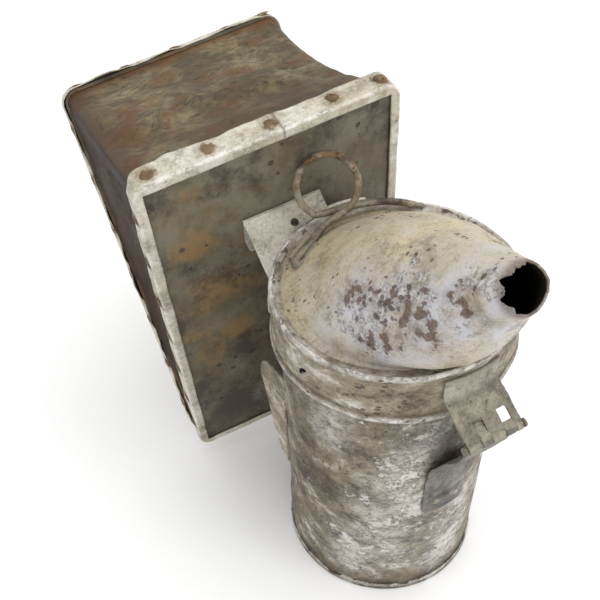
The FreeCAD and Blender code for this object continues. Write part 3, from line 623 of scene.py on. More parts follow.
@dataclass(frozen=True)
class Timber:
    """A stained board finish, with one large stain at a place in the boards' frame, in millimetres."""

    name: str
    base: str = "645846"
    pale: str = "7f7b6f"
    ochre: str = "7d6242"
    dark: str = "3a332b"
    stained_at: tuple[float, float, float] = (-44.0, 0.0, 163.0)
    stain_size: float = 0.05
    bump: float = 0.25

    def build(self, effects: Effects) -> bpy.types.Material:
        """Makes the material."""
        material, s, principled, vector = start_material(self.name, Surface.OBJECT)
        values = {"Vector": vector, "Base": srgb(self.base), "Pale": srgb(self.pale),
                  "Ochre": srgb(self.ochre), "Dark": srgb(self.dark), "Stain Size": self.stain_size,
                  "Stain Place": SEAT.place(np.array([self.stained_at]))[0] * MM}
        use_effect(s, principled, effects.timber, values, self.bump)
        return material


FINISHES = (
    AgedMetal("pot_tin", "8a7c64", "76725f", "d6d3cb", rust="74553a", grime="3a3329", mottle_amount=0.8,
              flake_amount=0.41, flake_size=70.0, pit_amount=0.45, rust_amount=0.13, stain_amount=0.85,
              stretch=(0.95, 0.95, 1.15), bump=0.6),
    AgedMetal("sooty_iron", "2b2622", "1c1917", "4a4138", flake_amount=0.15, rust_amount=0.4, bump=0.5),
    AgedMetal("lid_tin", "c6b897", "b3aa98", "c3c2c6", grime="5b4d40", rust="80604c", mottle_amount=0.8,
              flake_amount=0.26, flake_size=45.0, pit_amount=0.7, rust_amount=0.05, stain_amount=0.42,
              bump=0.45),
    AgedMetal("collar_tin", "9c9079", "837a68", "dad7d0", grime="433a2f", rust="7b5a3a", mottle_amount=0.8,
              flake_amount=0.3, flake_size=120.0, pit_amount=0.6, rust_amount=0.14, stain_amount=0.8,
              stretch=(0.8, 0.8, 1.3)),
    AgedMetal("hinge_tin", "a29b87", "7b7669", "c9c5b9", grime="433e36", mottle_amount=0.7,
              flake_amount=0.14, pit_amount=0.3, rust_amount=0.03),
    # a darker copy of hinge_tin for the lower leaf: painted shade
    AgedMetal("hinge_tin_dark", "7d7b71", "57544c", "aeaaa0", grime="2f2b26", mottle_amount=0.8,
              flake_amount=0.14, pit_amount=0.3, rust_amount=0.04),
    AgedMetal("rusty_wire", "8b8474", "6b5d47", "b0a896", rust="8a5416", grime="33251a", flake_amount=0.25,
              flake_size=140.0, rust_amount=0.12, pit_amount=0.4, stain_amount=0.8, bump=0.4),
    AgedMetal("solder", "9a968b", "7a7468", "b9b5a8", flake_amount=0.2, rust_amount=0.1, bump=0.3),
    AgedMetal("bracket_tin", "cdc8ba", "aca591", "eeede9", grime="6a604e", mottle_amount=0.6,
              flake_amount=0.36, pit_amount=0.3, rust_amount=0.02, stain_amount=0.45),
    AgedMetal("edge_tin", "cfcaba", "b3a98f", "e6e4de", rust="8b6a44", grime="665b49", mottle_amount=0.7,
              flake_amount=0.3, pit_amount=0.4, rust_amount=0.03, stain_amount=0.5, bump=0.35),
    AgedMetal("rusty_nail", "80684b", "54402c", "b5a88f", rust="6a4822", grime="35251a", flake_amount=0.34,
              flake_size=160.0, rust_amount=0.3, pit_amount=0.3, stain_amount=0.8, bump=0.6),
    AgedMetal("spring_steel", "5b5650", "3d3935", "75706a", flake_amount=0.1, rust_amount=0.35),
    Timber("board_wood", base="5e543f", pale="7a7565", ochre="86683c", dark="332c24", bump=0.5),
    Hide("bellows_leather", "5f523b", "8c7f60", bump=1.3),
)
# nodes that take another finish than their slot's name says
VARIANTS = {"lower_bracket": "collar_tin"}


# ---------------------------------------------------------------- the smoker's parts

@dataclass(frozen=True)
class Seat:
    """Where the bellows boards stand, in millimetres: x across, y through the board, z up it."""

    turn_deg: tuple[float, float, float] = (-2.8, -3.6, 4.4)
    hinge_y: float = 9.65
    open_deg: float = 33.0

    def matrix(self) -> np.ndarray:
        """The boards' 3 x 3 turn."""
        yaw, pitch, roll = self.turn_deg
        return (rotation(Vector((0, 0, 1)), yaw) @ rotation(Vector((0, 1, 0)), pitch)
                @ rotation(Vector((1, 0, 0)), roll))

    def place(self, points: np.ndarray, angle_deg: np.ndarray | float = 0.0) -> np.ndarray:
        """Carries board points to the smoker, swung back about the boards' hinge line.

        Args:
            points: Points in the boards' frame.
            angle_deg: Swing of each point, 0 for the front board.

        Returns:
            Points in the smoker's frame, in millimetres.
        """
        joint = next(j for j in frame["joints"] if j["name"] == "bellows_squeeze")
        hinge = np.array(joint["pos_m"]) / MM
        local = points - np.array([0.0, self.hinge_y, 0.0])
        angle = np.radians(-np.asarray(angle_deg, float))
        c, s = np.cos(angle), np.sin(angle)
        y, z = local[..., 1], local[..., 2]
        swung = np.stack([local[..., 0], y * c - z * s, y * s + z * c], axis=-1)
        return swung @ self.matrix().T + hinge

    def place_back(self, points: np.ndarray) -> np.ndarray:
        """Carries a front board piece to its mirrored twin on the back board."""
        twin = points * np.array([1.0, -1.0, 1.0]) + np.array([0.0, 2 * self.hinge_y, 0.0])
        return self.place(twin, self.open_deg)


SEAT = Seat()


def wall_of_revolution(profile: np.ndarray, count: int) -> np.ndarray:
    """The points of an upright surface: a profile of radius and height turned about the axis."""
    angle = np.linspace(0, 2 * math.pi, count, endpoint=False)
    radius = np.repeat(profile[:, 0][:, None], count, axis=1)
    height = np.repeat(profile[:, 1][:, None], count, axis=1)
    return np.stack([radius * np.cos(angle), radius * np.sin(angle), height], axis=-1)


def pushed(points: np.ndarray, amount: np.ndarray) -> np.ndarray:
    """Moves points away from the upright axis by these distances."""
    out = points.copy()
    radius = np.maximum(np.linalg.norm(points[..., :2], axis=-1), 1e-6)
    out[..., :2] *= ((radius + amount) / radius)[..., None]
    return out


@dataclass(frozen=True)
class FirePot:
    """The tin cylinder with its stop bead and its hemmed bottom, dented and corroded."""

    radius: float = 49.3
    wall: float = 1.0
    bottom: float = 1.1
    bead_z: float = 155.6
    bead_out: float = 1.6
    top: float = 172.0
    cup_radius: float = 50.2
    cup_height: float = 5.5
    notch_at_deg: float = -154.0
    flaked_at: tuple = (((-30, -39, 45), (-20, -45, 100), 17), ((-16, -46, 125), (-6, -49, 140), 12),
                        ((-44, -22, 130), (-44, -22, 145), 9), ((-40, -29, 20), (-38, -31, 40), 10),
                        ((5, -49, 20), (12, -47, 70), 12), ((30, 38, 40), (40, 20, 120), 16))
    around: int = 320

    def build(self) -> None:
        """Makes the wall and the bottom cup."""
        r, bead, swell = self.radius, self.bead_z, self.bead_out
        line = np.array([(r, self.bottom), (r, bead - 2.2), (r + 0.7 * swell, bead - 1.2),
                         (r + swell, bead - 0.1), (r + 0.7 * swell, bead + 1.0), (r, bead + 1.9),
                         (r, self.top)])
        wall = wall_of_revolution(resample(line, 1.1), self.around)
        dents = 0.35 * ripple(wall, 60.0, 11, 3) * smooth_step(wall[..., 2], 8, 30)
        dents *= 1 - smooth_step(wall[..., 2], bead - 25, bead - 6)
        wall = pushed(wall, np.minimum(dents, 0.3) - 0.05)
        # the first mark darkens the pot towards its bottom and just under the bead, with faint streaks
        streak = smooth_step(ripple(wall * [1, 1, 0.3], 50.0, 5, 4), 0.2, 1.0)
        low = 1 - smooth_step(wall[..., 2], 6.0, 16.0)
        under = smooth_step(wall[..., 2], bead - 8, bead - 1)
        flaked = sum(near_line(wall, *spot) for spot in self.flaked_at)
        brown = near_line(wall, (-48, -10, 60), (-46, -16, 120), 22)
        piece = grid_mesh("pot_wall", wall, closed=True,
                          marks={"grime": 0.4 * np.maximum(low, under) + 0.15 * streak,
                                 "wear": 0.5 * np.clip(flaked, 0, 1), "rust": 0.3 * low + 0.22 * brown})
        add_solidify(piece, self.wall, inner_slot=True)
        dress(piece, "pot_tin", "pot", "fire_pot", inner="sooty_iron")
        self.build_cup()

    def build_cup(self) -> None:
        """Makes the bottom disc with its turned-up hem, nicked by rust at its edge."""
        r, top = self.cup_radius, self.cup_height
        rings = np.array([(0.05, 0.02), (r - 1.0, 0.02), (r - 0.2, 0.3), (r, 1.0), (r, top - 0.7),
                          (r - 0.15, top - 0.1), (r - 0.45, top), (self.radius + 0.05, top - 0.3)])
        cup = wall_of_revolution(resample(rings, 0.6), self.around)
        angle = np.degrees(np.arctan2(cup[..., 1], cup[..., 0]))
        edge = smooth_step(cup[..., 2], 1.5, top - 0.6)
        chips = np.maximum(0, ripple(cup, 9.0, 23, 3) - 0.35) * 1.4 * edge
        notch = np.exp(-((angle - self.notch_at_deg) / 4.0) ** 2) * edge
        cup[..., 2] -= np.minimum(chips + 3.2 * notch, cup[..., 2] - 0.2)
        cup = pushed(cup, -0.25 * edge * smooth_step(ripple(cup, 30.0, 3), -0.4, 1.0))
        piece = grid_mesh("pot_bottom", cup, closed=True,
                          marks={"wear": edge * 0.7 + notch, "grime": 0.3 * (1 - edge), "rust": 0.3 * edge})
        add_solidify(piece, 0.5)
        dress(piece, "pot_tin", "pot", "pot_base_cup")


@dataclass(frozen=True)
class LidCollar:
    """The lid's band: hem bead below, rolled rim above, and the shelf inside that carries the hood."""

    radius: float = 53.2
    bottom: float = 157.2
    rim_top: float = 185.6
    shelf_z: float = 182.6
    shelf_inner: float = 45.0
    hole_at_deg: float = -168.0
    hole_z: float = 170.0
    around: int = 360

    def build(self) -> None:
        """Makes the band and the groove at its top."""
        r, low, top = self.radius, self.bottom, self.rim_top
        line = np.array([(r - 0.9, low + 0.1), (r + 0.1, low), (r + 0.8, low + 0.6), (r + 1.0, low + 1.5),
                         (r + 0.8, low + 2.5), (r + 0.2, low + 3.3), (r, low + 4.4), (r, top - 4.0),
                         (r + 0.25, top - 2.6), (r + 0.45, top - 1.4), (r + 0.2, top - 0.4), (r - 0.7, top),
                         (r - 1.5, top - 0.3), (r - 2.2, top - 1.0), (r - 3.2, self.shelf_z + 1.3),
                         (r - 4.8, self.shelf_z + 0.75), (self.shelf_inner, self.shelf_z + 0.6)])
        band = wall_of_revolution(resample(line, 0.55), self.around)
        rim = smooth_step(band[..., 2], top - 3, top - 1)
        hem = 1 - smooth_step(band[..., 2], low + 2, low + 4)
        outside = (np.linalg.norm(band[..., :2], axis=-1) > r - 1.2).astype(float)
        band = pushed(band, outside * (0.25 * ripple(band, 45.0, 31, 3) - 0.15))
        band[..., 2] += 0.18 * ripple(band * [1, 1, 0], 40.0, 37, 3) * np.maximum(rim, hem) - 0.1 * rim
        angle = np.degrees(np.arctan2(band[..., 1], band[..., 0]))
        across = (angle - self.hole_at_deg) * math.pi / 180 * r
        reach = np.hypot(across / 3.2, (band[..., 2] - self.hole_z) / 2.6) + 0.45 * ripple(band, 4.0, 41, 2)
        torn = (reach < 0.9) & (outside > 0)
        face_torn = torn[:-1] & np.roll(torn, -1, axis=1)[:-1] & torn[1:] & np.roll(torn, -1, axis=1)[1:]
        ridge = np.maximum(rim, hem) * (0.45 + 0.45 * smooth_step(ripple(band, 9.0, 43, 4), -0.8, 0.8))
        groove = (1 - outside) * smooth_step(band[..., 2], self.shelf_z - 0.5, self.shelf_z)
        near_hem = np.exp(-((band[..., 2] - low - 4.2) / 1.4) ** 2) * outside
        round_hole = smooth_step(-reach, -1.7, -0.9) * outside
        rusted_hole = smooth_step(-reach, -1.5, -1.0) * outside
        piece = grid_mesh("lid_band", band, closed=True, keep=~face_torn,
                          marks={"wear": ridge + 0.5 * round_hole, "grime": 0.35 * near_hem,
                                 "rust": 0.45 * near_hem + 0.4 * groove + 0.5 * rusted_hole})
        add_solidify(piece, 0.75, inner_slot=True)
        dress(piece, "collar_tin", "lid", "lid_collar", inner="sooty_iron", slot="lid_tin")


@dataclass(frozen=True)
class LidHood:
    """The slanting hood that narrows from the lid's rim to the ragged spout."""

    base_radius: float = 49.2
    shelf_z: float = 182.65
    mouth: tuple[float, float, float] = (0.0, -70.4, 241.1)
    mouth_radius: float = 9.0
    mouth_tilt_deg: float = 35.0
    pinch: float = 0.16
    foot_step: float = 3.6
    scabs: tuple = (((-31, -16, 210), (-22, -42, 222), 9), ((-34, -34, 199), (-22, -52, 212), 8),
                    ((-16, -56, 232), (-11, -66, 228), 6))
    around: int = 300
    along: int = 150

    def section(self, t: np.ndarray, angle: np.ndarray) -> np.ndarray:
        """The hood's surface, t from the base (0) to the mouth (1) and the angle round it.

        A circle is carried from the base's centre to the mouth's, shrinking evenly while its plane
        tips forward, then drawn in just above its flared foot and pinched behind the spout.
        """
        base = np.array([0.0, 0.0, self.shelf_z])
        centre = base + (np.array(self.mouth) - base) * t[..., None]
        radius = self.base_radius + (self.mouth_radius - self.base_radius) * t
        tilt = np.radians(90 - (90 - self.mouth_tilt_deg) * t)
        behind = smooth_step(t, 0.35, 0.8) * (1 - smooth_step(t, 0.86, 1.0))
        radius = radius - self.foot_step * smooth_step(t, 0.005, 0.04) * (1 - smooth_step(t, 0.06, 0.5))
        radius = radius * (1 - self.pinch * behind * smooth_step(np.sin(angle), -0.2, 0.9))
        across = np.stack([np.cos(angle), np.zeros_like(t), np.zeros_like(t)], axis=-1)
        up = np.stack([np.zeros_like(t), np.sin(tilt) * np.sin(angle), np.cos(tilt) * np.sin(angle)], axis=-1)
        return centre + radius[..., None] * (across + up)

    def build(self) -> None:
        """Makes the hood and its ragged mouth as one sheet."""
        t, angle = np.meshgrid(np.linspace(0, 1, self.along),
                               np.linspace(0, 2 * math.pi, self.around, endpoint=False), indexing="ij")
        ragged = 0.011 * (ripple(np.stack([np.cos(angle), np.sin(angle)], -1) * 9, 7.0, 61, 4))
        t = t + smooth_step(t, 0.9, 1.0) * (ragged - 0.006)
        skin = self.section(t, angle)
        dent = 0.5 * ripple(skin, 34.0, 67, 3) * smooth_step(t, 0.03, 0.2) * (1 - smooth_step(t, 0.85, 1.0))
        normal = np.cross(np.gradient(skin, axis=1), np.gradient(skin, axis=0))
        normal /= np.maximum(np.linalg.norm(normal, axis=-1), 1e-9)[..., None]
        skin = skin + normal * (np.minimum(dent, 0.35) - 0.1)[..., None]
        uneven = 1 + 0.35 * ripple(skin, 22.0, 71, 3)
        bared = near_line(skin, (-36, -26, 200), (-14, -60, 230), 21)
        under_spout = 0.5 * near_line(skin, (0, -75, 226), (8, -60, 215), 14)
        right_side = 0.6 * near_line(skin, (34, -20, 200), (28, -30, 208), 14)
        bared = np.maximum(np.clip((bared + under_spout) * uneven, 0, 1), right_side)
        scabbed = sum(near_line(skin, *spot) for spot in self.scabs) * (0.75 + 0.5 * ripple(skin, 9.0, 73, 3))
        tan = near_line(skin, (-32, 24, 190), (-8, -32, 236), 8)
        tan *= smooth_step(ripple(skin, 16.0, 79, 3), -0.4, 0.6)
        foot = 1 - smooth_step(t, 0.0, 0.07)
        lip = smooth_step(t, 0.955, 1.0)
        piece = grid_mesh("lid_hood_sheet", skin, closed=True,
                          marks={"wear": 0.85 * bared, "grime": 0.55 * lip + 0.12 * foot,
                                 "rust": np.clip(0.5 * scabbed + 0.35 * lip + 0.2 * foot + 0.16 * tan, 0, 1)})
        add_solidify(piece, 0.9, inner_slot=True)
        dress(piece, "lid_tin", "lid", "lid_hood", "spout_lip", inner="sooty_iron")


@dataclass(frozen=True)
class RingHandle:
    """The wire ring that lifts the lid: one turn, with its ends laid along the rim and an eye at one end."""

    centre: tuple[float, float, float] = (-2.2, 50.8, 203.0)
    ring_radius: float = 13.6
    wire: float = 1.6
    lean_deg: float = 35.0
    yaw_deg: float = -25.0

    def build(self) -> None:
        """Makes the wire."""
        turn = rotation(Vector((0, 0, 1)), self.yaw_deg) @ rotation(Vector((1, 0, 0)), 90 - self.lean_deg)
        angle = np.radians(np.linspace(-62, 248, 60))
        side = np.linspace(1.45, -1.45, 60)
        loop = np.stack([self.ring_radius * np.cos(angle), self.ring_radius * np.sin(angle), side], axis=-1)
        loop = loop @ turn.T + np.array(self.centre)
        eye = np.array([(-18.5, 33.0, 189.4), (-22.5, 30.4, 188.6), (-27.0, 28.0, 187.6),
                        (-30.6, 28.4, 187.2), (-29.8, 31.4, 187.4), (-25.0, 34.2, 187.6),
                        (-18.5, 37.4, 188.2)])
        left = np.vstack([eye, [(-9.0, 41.4, 190.0)]])
        right = np.array([(9.0, 45.9, 189.8), (21.0, 43.6, 188.2), (29.0, 38.8, 187.6), (33.4, 34.6, 187.2)])
        line = smooth_curve(np.vstack([left, loop[::3], loop[-1:], right]), 0.8)
        lying = 1 - smooth_step(np.arange(len(line)) * 0.8, 26, 44)
        radius = self.wire * (1 + 0.3 * lying + 0.05 * ripple(line, 9.0, 83, 3)) - 0.03
        flat = 1 - 0.3 * lying
        points = swept(line, radius, 20, flat)
        hot = smooth_step(points[..., 2], 192, 203) * smooth_step(ripple(points, 8.0, 89, 4), -0.7, 0.7)
        sooty = smooth_step(points[..., 2], 204, 212) * smooth_step(ripple(points, 7.0, 91, 3), -0.3, 0.6)
        piece = grid_mesh("ring_wire", points, closed=True,
                          marks={"rust": 0.75 * hot, "grime": 0.6 * sooty})
        dress(piece, "rusty_wire", "lid", "ring_handle")


@dataclass(frozen=True)
class FrontHinge:
    """The lid's hinge: a slotted plate on the collar, a bent strap on the pot, and their barrels."""

    left: float = -12.0
    right: float = 14.0
    slots: tuple = ((-6.0, -0.8), (5.5, 10.8))
    play: float = 0.25
    curls: tuple = (6.7, 2.6)
    barrel: float = 2.15
    bore: float = 1.35
    sheet: float = 0.9
    collar: float = 54.2
    pot: float = 50.35
    slot_reach: float = 7.2
    half_width: float = 11.3

    def pin(self) -> tuple[float, float]:
        """The pin's place, as y and z in millimetres."""
        joint = next(j for j in frame["joints"] if j["name"] == "lid_hinge")
        return joint["pos_m"][1] / MM, joint["pos_m"][2] / MM

    def barrel_points(self, x0: float, x1: float) -> np.ndarray:
        """One barrel: a rounded ring profile turned about the pin's axis."""
        y, z = self.pin()
        r = self.barrel
        profile = np.array([(self.bore, x0 + 0.1), (r - 0.4, x0), (r - 0.05, x0 + 0.35), (r, x0 + 1.0),
                            (r, x1 - 1.0), (r - 0.05, x1 - 0.35), (r - 0.4, x1), (self.bore, x1 - 0.1),
                            (self.bore, x0 + 0.1)])
        ring = wall_of_revolution(resample(profile, 0.45), 36)[:, :, [2, 0, 1]]
        return ring + np.array([0.0, y, z])

    def curl(self, left: float, right: float, reach: float) -> bpy.types.Object:
        """Makes one curled end of the strap, which lies in the plate's slot up to this far behind the pin."""
        y, z = self.pin()
        across, up = np.meshgrid(np.linspace(left, right, 9), np.linspace(0, 1, 13), indexing="xy")
        rise = (self.barrel - 0.05) * (1 - 0.06 * up) + 0.5 * reach * up
        sheet = np.stack([across, y - self.sheet + (reach + self.sheet) * up, z + rise], axis=-1)
        sheet[..., 2] += 0.1 * ripple(sheet, 5.0, 143, 2)
        made = grid_mesh("hinge_curl", sheet)
        add_solidify(made, 0.8)
        return made

    def build(self) -> None:
        """Makes both leaves with their barrels."""
        self.build_upper()
        self.build_lower()

    def build_upper(self) -> None:
        """Makes the slotted plate: down the collar, folded outwards, down to the pin."""
        y, z = self.pin()
        side = np.linspace(self.left, self.right, 61)
        line = smooth_curve(np.array([(0.0, 181.0), (0.0, 175.0), (0.02, 171.6), (0.12, 169.3), (0.35, 166.6),
                                      (0.7, 162.7), (0.93, z + 2.2), (1.05, z + 1.1)]), 0.03)
        line = resample(line * [16.0, 1.0], 0.5) / [16.0, 1.0]
        share, height = (np.repeat(line[:, k][:, None], len(side), axis=1) for k in (0, 1))
        x = np.repeat(side[None], len(line), axis=0)
        round_y = -np.sqrt(self.collar ** 2 - x ** 2) - 0.15
        leaf = np.stack([x, round_y * (1 - share) + (y - 1.1) * share, height], axis=-1)
        leaf[..., 1] += 0.12 * ripple(leaf, 14.0, 131, 3)
        leaf[..., 0] += 0.25 * ripple(leaf, 11.0, 133, 3) * (np.abs(x - 1.0) > 12.5)
        holes = np.zeros(leaf.shape[:2], bool)
        for x0, x1 in self.slots:
            holes |= (x > x0) & (x < x1) & (leaf[..., 1] < y + self.slot_reach)
        gone = holes[:-1, :-1] & holes[1:, 1:] & holes[:-1, 1:] & holes[1:, :-1]
        # painted shade: the plate is darkened towards the pin and along its fold
        low = smooth_step(-leaf[..., 1], 60, 68)
        fold = np.exp(-((height - 169.6) / 1.2) ** 2)
        marks = {"grime": 0.35 * low + 0.45 * fold, "wear": 0.3 * np.exp(-((height - 175) / 4) ** 2)}
        plate = grid_mesh("hinge_plate", leaf[:, ::-1], keep=~gone[:, ::-1],
                          marks={key: value[:, ::-1] for key, value in marks.items()})
        add_solidify(plate, self.sheet)
        add_rounding(plate, 0.2)
        ends = [self.left, *[x for slot in self.slots for x in slot], self.right]
        barrels = [grid_mesh("hinge_barrel", self.barrel_points(x0, x1), closed=True)
                   for x0, x1 in zip(ends[::2], ends[1::2])]
        barrel = join(barrels, "hinge_plate_barrels")
        for piece, nodes in ((plate, ("hinge_upper_leaf",)), (barrel, ())):
            dress(piece, "hinge_tin", "lid", *nodes)

    def build_lower(self) -> None:
        """Makes the bent strap: up the pot's front, then out to the pin, with its two tongues."""
        y, z = self.pin()
        line = smooth_curve(np.array([(1.0, -50.0, 76.0), (1.0, -50.0, 92.0), (1.0, -50.0, 104.0),
                                      (0.6, -51.6, 112.0), (0.2, -54.0, 119.5), (0.0, -59.6, 131.5),
                                      (0.0, -66.4, 142.5), (0.0, y + 0.5, z - 3.0)]), 0.9)
        v = np.linspace(-1, 1, 49)
        tip = smooth_step(line[:, 2], 75.0, 80.0) ** 0.5
        half = (self.half_width - 2.2 * (1 - tip) + 0.25 * ripple(line, 16.0, 137, 2))[:, None]
        x = half * v[None]
        hug = line[:, 0][:, None]
        round_y = -np.sqrt(self.pot ** 2 - x ** 2)
        y_line, z_line = line[:, 1][:, None], np.repeat(line[:, 2][:, None], len(v), axis=1)
        leaf = np.stack([x, round_y * hug + y_line * (1 - hug), z_line], axis=-1)
        leaf[..., 1] += 0.15 * ripple(leaf, 18.0, 139, 3) - 0.1
        smear = near_line(leaf, (-8, -50, 92), (7, -50, 84), 3.0)
        smear *= smooth_step(ripple(leaf, 9.0, 141, 3), -0.6, 0.4)
        grime = np.clip(0.9 * smear + 0.3 * (1 - tip)[:, None], 0, 1)
        strap = grid_mesh("hinge_strap", leaf, marks={"grime": grime})
        add_solidify(strap, self.sheet)
        add_rounding(strap, 0.2)
        pieces, flaps = [], []
        for (x0, x1), reach in zip(self.slots, self.curls):
            left, right = x0 + self.play, x1 - self.play
            pieces.append(grid_mesh("hinge_barrel", self.barrel_points(left, right), closed=True))
            flaps.append(self.curl(left, right, reach))
        barrel = join(pieces, "hinge_strap_barrels")
        # the strap and its barrels take the darker, shaded copy of hinge_tin: painted shade
        for piece, nodes in ((strap, ("hinge_lower_leaf",)), (barrel, ())):
            dress(piece, "hinge_tin_dark", "pot", *nodes, slot="hinge_tin")
        for flap in flaps:
            dress(flap, "hinge_tin", "pot")


def dress(piece: bpy.types.Object, material: str, body: str, *nodes: str, inner: str = "",
           slot: str = "") -> None:
    """Gives a new piece its materials and body, and hides what it stands for.

    Args:
        piece: The new piece.
        material: Name of the material outside.
        body: The body that it moves with.
        *nodes: CAD nodes that it stands for.
        inner: Name of the material inside, where it differs.
        slot: Not used.
    """
    piece.data.materials.append(bpy.data.materials[material])
    if inner:
        piece.data.materials.append(bpy.data.materials[inner])
    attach(piece, body)
    if nodes:
        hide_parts(*nodes)


# ---------------------------------------------------------------- bellows

@dataclass(frozen=True)
class BoardEdging:
    """The tin edging round one board, with its domed nails."""

    width: float = 126.0
    height: float = 212.0
    corner: float = 8.0
    thick: float = 0.6
    lip: float = 4.2
    side_width: float = 9.0
    top_width: float = 11.8
    nail_radius: float = 3.4
    nail_height: float = 1.3
    top_nails: tuple[float, ...] = (9.7, 37.5, 66.4, 96.4, 119.2)
    side_nails: int = 7
    bottom_nails: int = 4
    seam_x: float = 7.0
    wave: float = 0.35

    def nail_spots(self) -> list[tuple[np.ndarray, np.ndarray]]:
        """Each nail's place and outward direction, in the boards' frame."""
        depth = self.side_width * 0.55
        spots = [((x - self.width / 2, depth + 1, self.height), (0, 0, 1)) for x in self.top_nails]
        for side in (-1, 1):
            for k in range(self.side_nails):
                z = 20 + k * (self.height - 40) / (self.side_nails - 1)
                spots.append(((side * self.width / 2, depth, z), (side, 0, 0)))
        for k in range(self.bottom_nails):
            spots.append(((-45 + k * 90 / (self.bottom_nails - 1), depth - 1, 0), (0, 0, -1)))
        return [(np.array(a, float), np.array(b, float)) for a, b in spots]

    def outline(self) -> tuple[np.ndarray, np.ndarray]:
        """Points round the board's edge and their outward directions, as x and z."""
        half, r = self.width / 2, self.corner
        corners = [(half - r, r, -90), (half - r, self.height - r, 0), (-half + r, self.height - r, 90),
                   (-half + r, r, 180)]
        line = []
        for cx, cz, start in corners:
            for degrees in np.linspace(start, start + 90, 14):
                a = math.radians(degrees)
                line.append((cx + r * math.cos(a), cz + r * math.sin(a)))
        closed = np.array(line + line[:1])
        points = resample(closed, 0.9)[:-1]
        ahead = np.roll(points, -1, axis=0) - np.roll(points, 1, axis=0)
        ahead /= np.linalg.norm(ahead, axis=1)[:, None]
        return points, np.stack([ahead[:, 1], -ahead[:, 0]], axis=1)

    def strip(self, seed: int) -> tuple[np.ndarray, dict[str, np.ndarray]]:
        """The strip's grid of points in the boards' frame and its finish marks.

        The cross section runs from the lip's edge on the board's face, round the corner, to the
        free edge over the leather; the free edge wanders and lifts a little.
        """
        points, out = self.outline()
        seam = np.exp(-((points[:, 0] - self.seam_x) / 0.7) ** 2) * (points[:, 1] > self.height / 2)
        top = smooth_step(points[:, 1], self.height - 4.5, self.height - 1.0)
        reach = self.side_width + (self.top_width - self.side_width) * top
        wander = ripple(points, 42.0, seed, 3)
        inner = np.stack([np.clip(points[:, 0], self.lip - self.width / 2, self.width / 2 - self.lip),
                          np.clip(points[:, 1], self.lip, self.height - self.lip)], axis=1)
        bend = 1.4
        face = [(inset, 0.0) for inset in np.linspace(self.lip, 0.9, 5)]
        face += [(0.45, 0.0), (0.12, 0.15), (0.0, 0.45), (0.0, 0.8), (0.0, bend)]
        side = np.linspace(0, 1, 12)[1:]
        grid = np.zeros((len(face) + len(side), len(points), 3))
        for k, (inset, deep) in enumerate(face):
            flat = points + (inner - points) * (inset / self.lip)
            grid[k] = np.stack([flat[:, 0], np.full(len(points), deep), flat[:, 1]], axis=1)
        for k, share in enumerate(side, len(face)):
            y = bend + (reach + self.wave * wander - 0.5 - bend) * share
            flat = points + out * (0.9 * self.wave * wander * smooth_step(y, 3, 10))[:, None]
            grid[k] = np.stack([flat[:, 0], y, flat[:, 1]], axis=1)
        halo = np.zeros(grid.shape[:2])
        for spot, _ in self.nail_spots():
            away = np.linalg.norm(grid - spot, axis=-1)
            halo = np.maximum(halo, np.exp(-(np.maximum(away - 3.0, 0) / 2.2) ** 2))
        dip = 0.12 * ripple(grid, 18.0, seed + 3, 3) - 0.1
        grid[..., 0] += dip * out[:, 0]
        grid[..., 2] += dip * out[:, 1]
        grid[..., 2] -= 0.35 * seam
        fold = np.array([0.0] * 5 + [0.4, 1.0, 1.0] + [0.5] + [0.0] * 12)[:, None]
        wear = 0.3 * smooth_step(ripple(grid, 26.0, seed + 5, 3), -0.3, 0.8) + 0.4 * fold
        # the seam is pressed in and darkened: a painted shade line in the butt seam's gap
        return grid, {"rust": 0.75 * halo, "wear": wear, "grime": np.broadcast_to(0.7 * seam, wear.shape)}

    def nail(self, spot: np.ndarray, out: np.ndarray, seed: int) -> np.ndarray:
        """The grid of one domed, lumpy nail head: rings that shrink as they rise."""
        a, v = np.meshgrid(np.linspace(0, 2 * math.pi, 20, endpoint=False), np.linspace(0, 1, 8))
        level = np.sin(v * math.pi / 2) * self.nail_height - 0.15
        radius = self.nail_radius * np.cos(v * math.pi / 2) ** 0.75 + 1e-3
        along = np.array([0.0, 1.0, 0.0])
        side = np.cross(along, out)
        head = (spot + along * (radius * np.cos(a))[..., None] + side * (radius * np.sin(a))[..., None]
                + out * level[..., None])
        lump = 0.14 * ripple(head, 3.5, seed, 2) * (v < 0.95)
        return head + out * np.minimum(lump, 0.1)[..., None] - out * 0.02

    def build(self, place, body: str, prefix: str, seed: int) -> None:
        """Makes the strip and all its nails on one board.

        Args:
            place: Carries points of the boards' frame to the smoker.
            body: The body that the board belongs to.
            prefix: Start of the CAD nodes' names.
            seed: Seed for this board's wear.
        """
        grid, marks = self.strip(seed)
        mirrored = body != "pot"
        points = place(grid)
        if mirrored:
            points = points[:, ::-1]
            marks = {key: value[:, ::-1] for key, value in marks.items()}
        piece = grid_mesh(f"{prefix}_strip_sheet", points, closed=True, marks=marks)
        add_solidify(piece, self.thick)
        dress(piece, "edge_tin", body, f"{prefix}_edge_strip")
        heads = []
        for k, (spot, out) in enumerate(self.nail_spots()):
            head = place(self.nail(spot, out, seed * 31 + k))
            if mirrored:
                head = head[:, ::-1]
            heads.append(grid_mesh(f"{prefix}_nail_{k}", head, closed=True))
        nails = join(heads, f"{prefix}_nails")
        dress(nails, "rusty_nail", body, f"{prefix}_strip_nails")


def join(pieces: list[bpy.types.Object], name: str) -> bpy.types.Object:
    """Joins several meshes into the first and names it."""
    with bpy.context.temp_override(active_object=pieces[0], selected_editable_objects=pieces):
        bpy.ops.object.join()
    pieces[0].name = name
    return pieces[0]


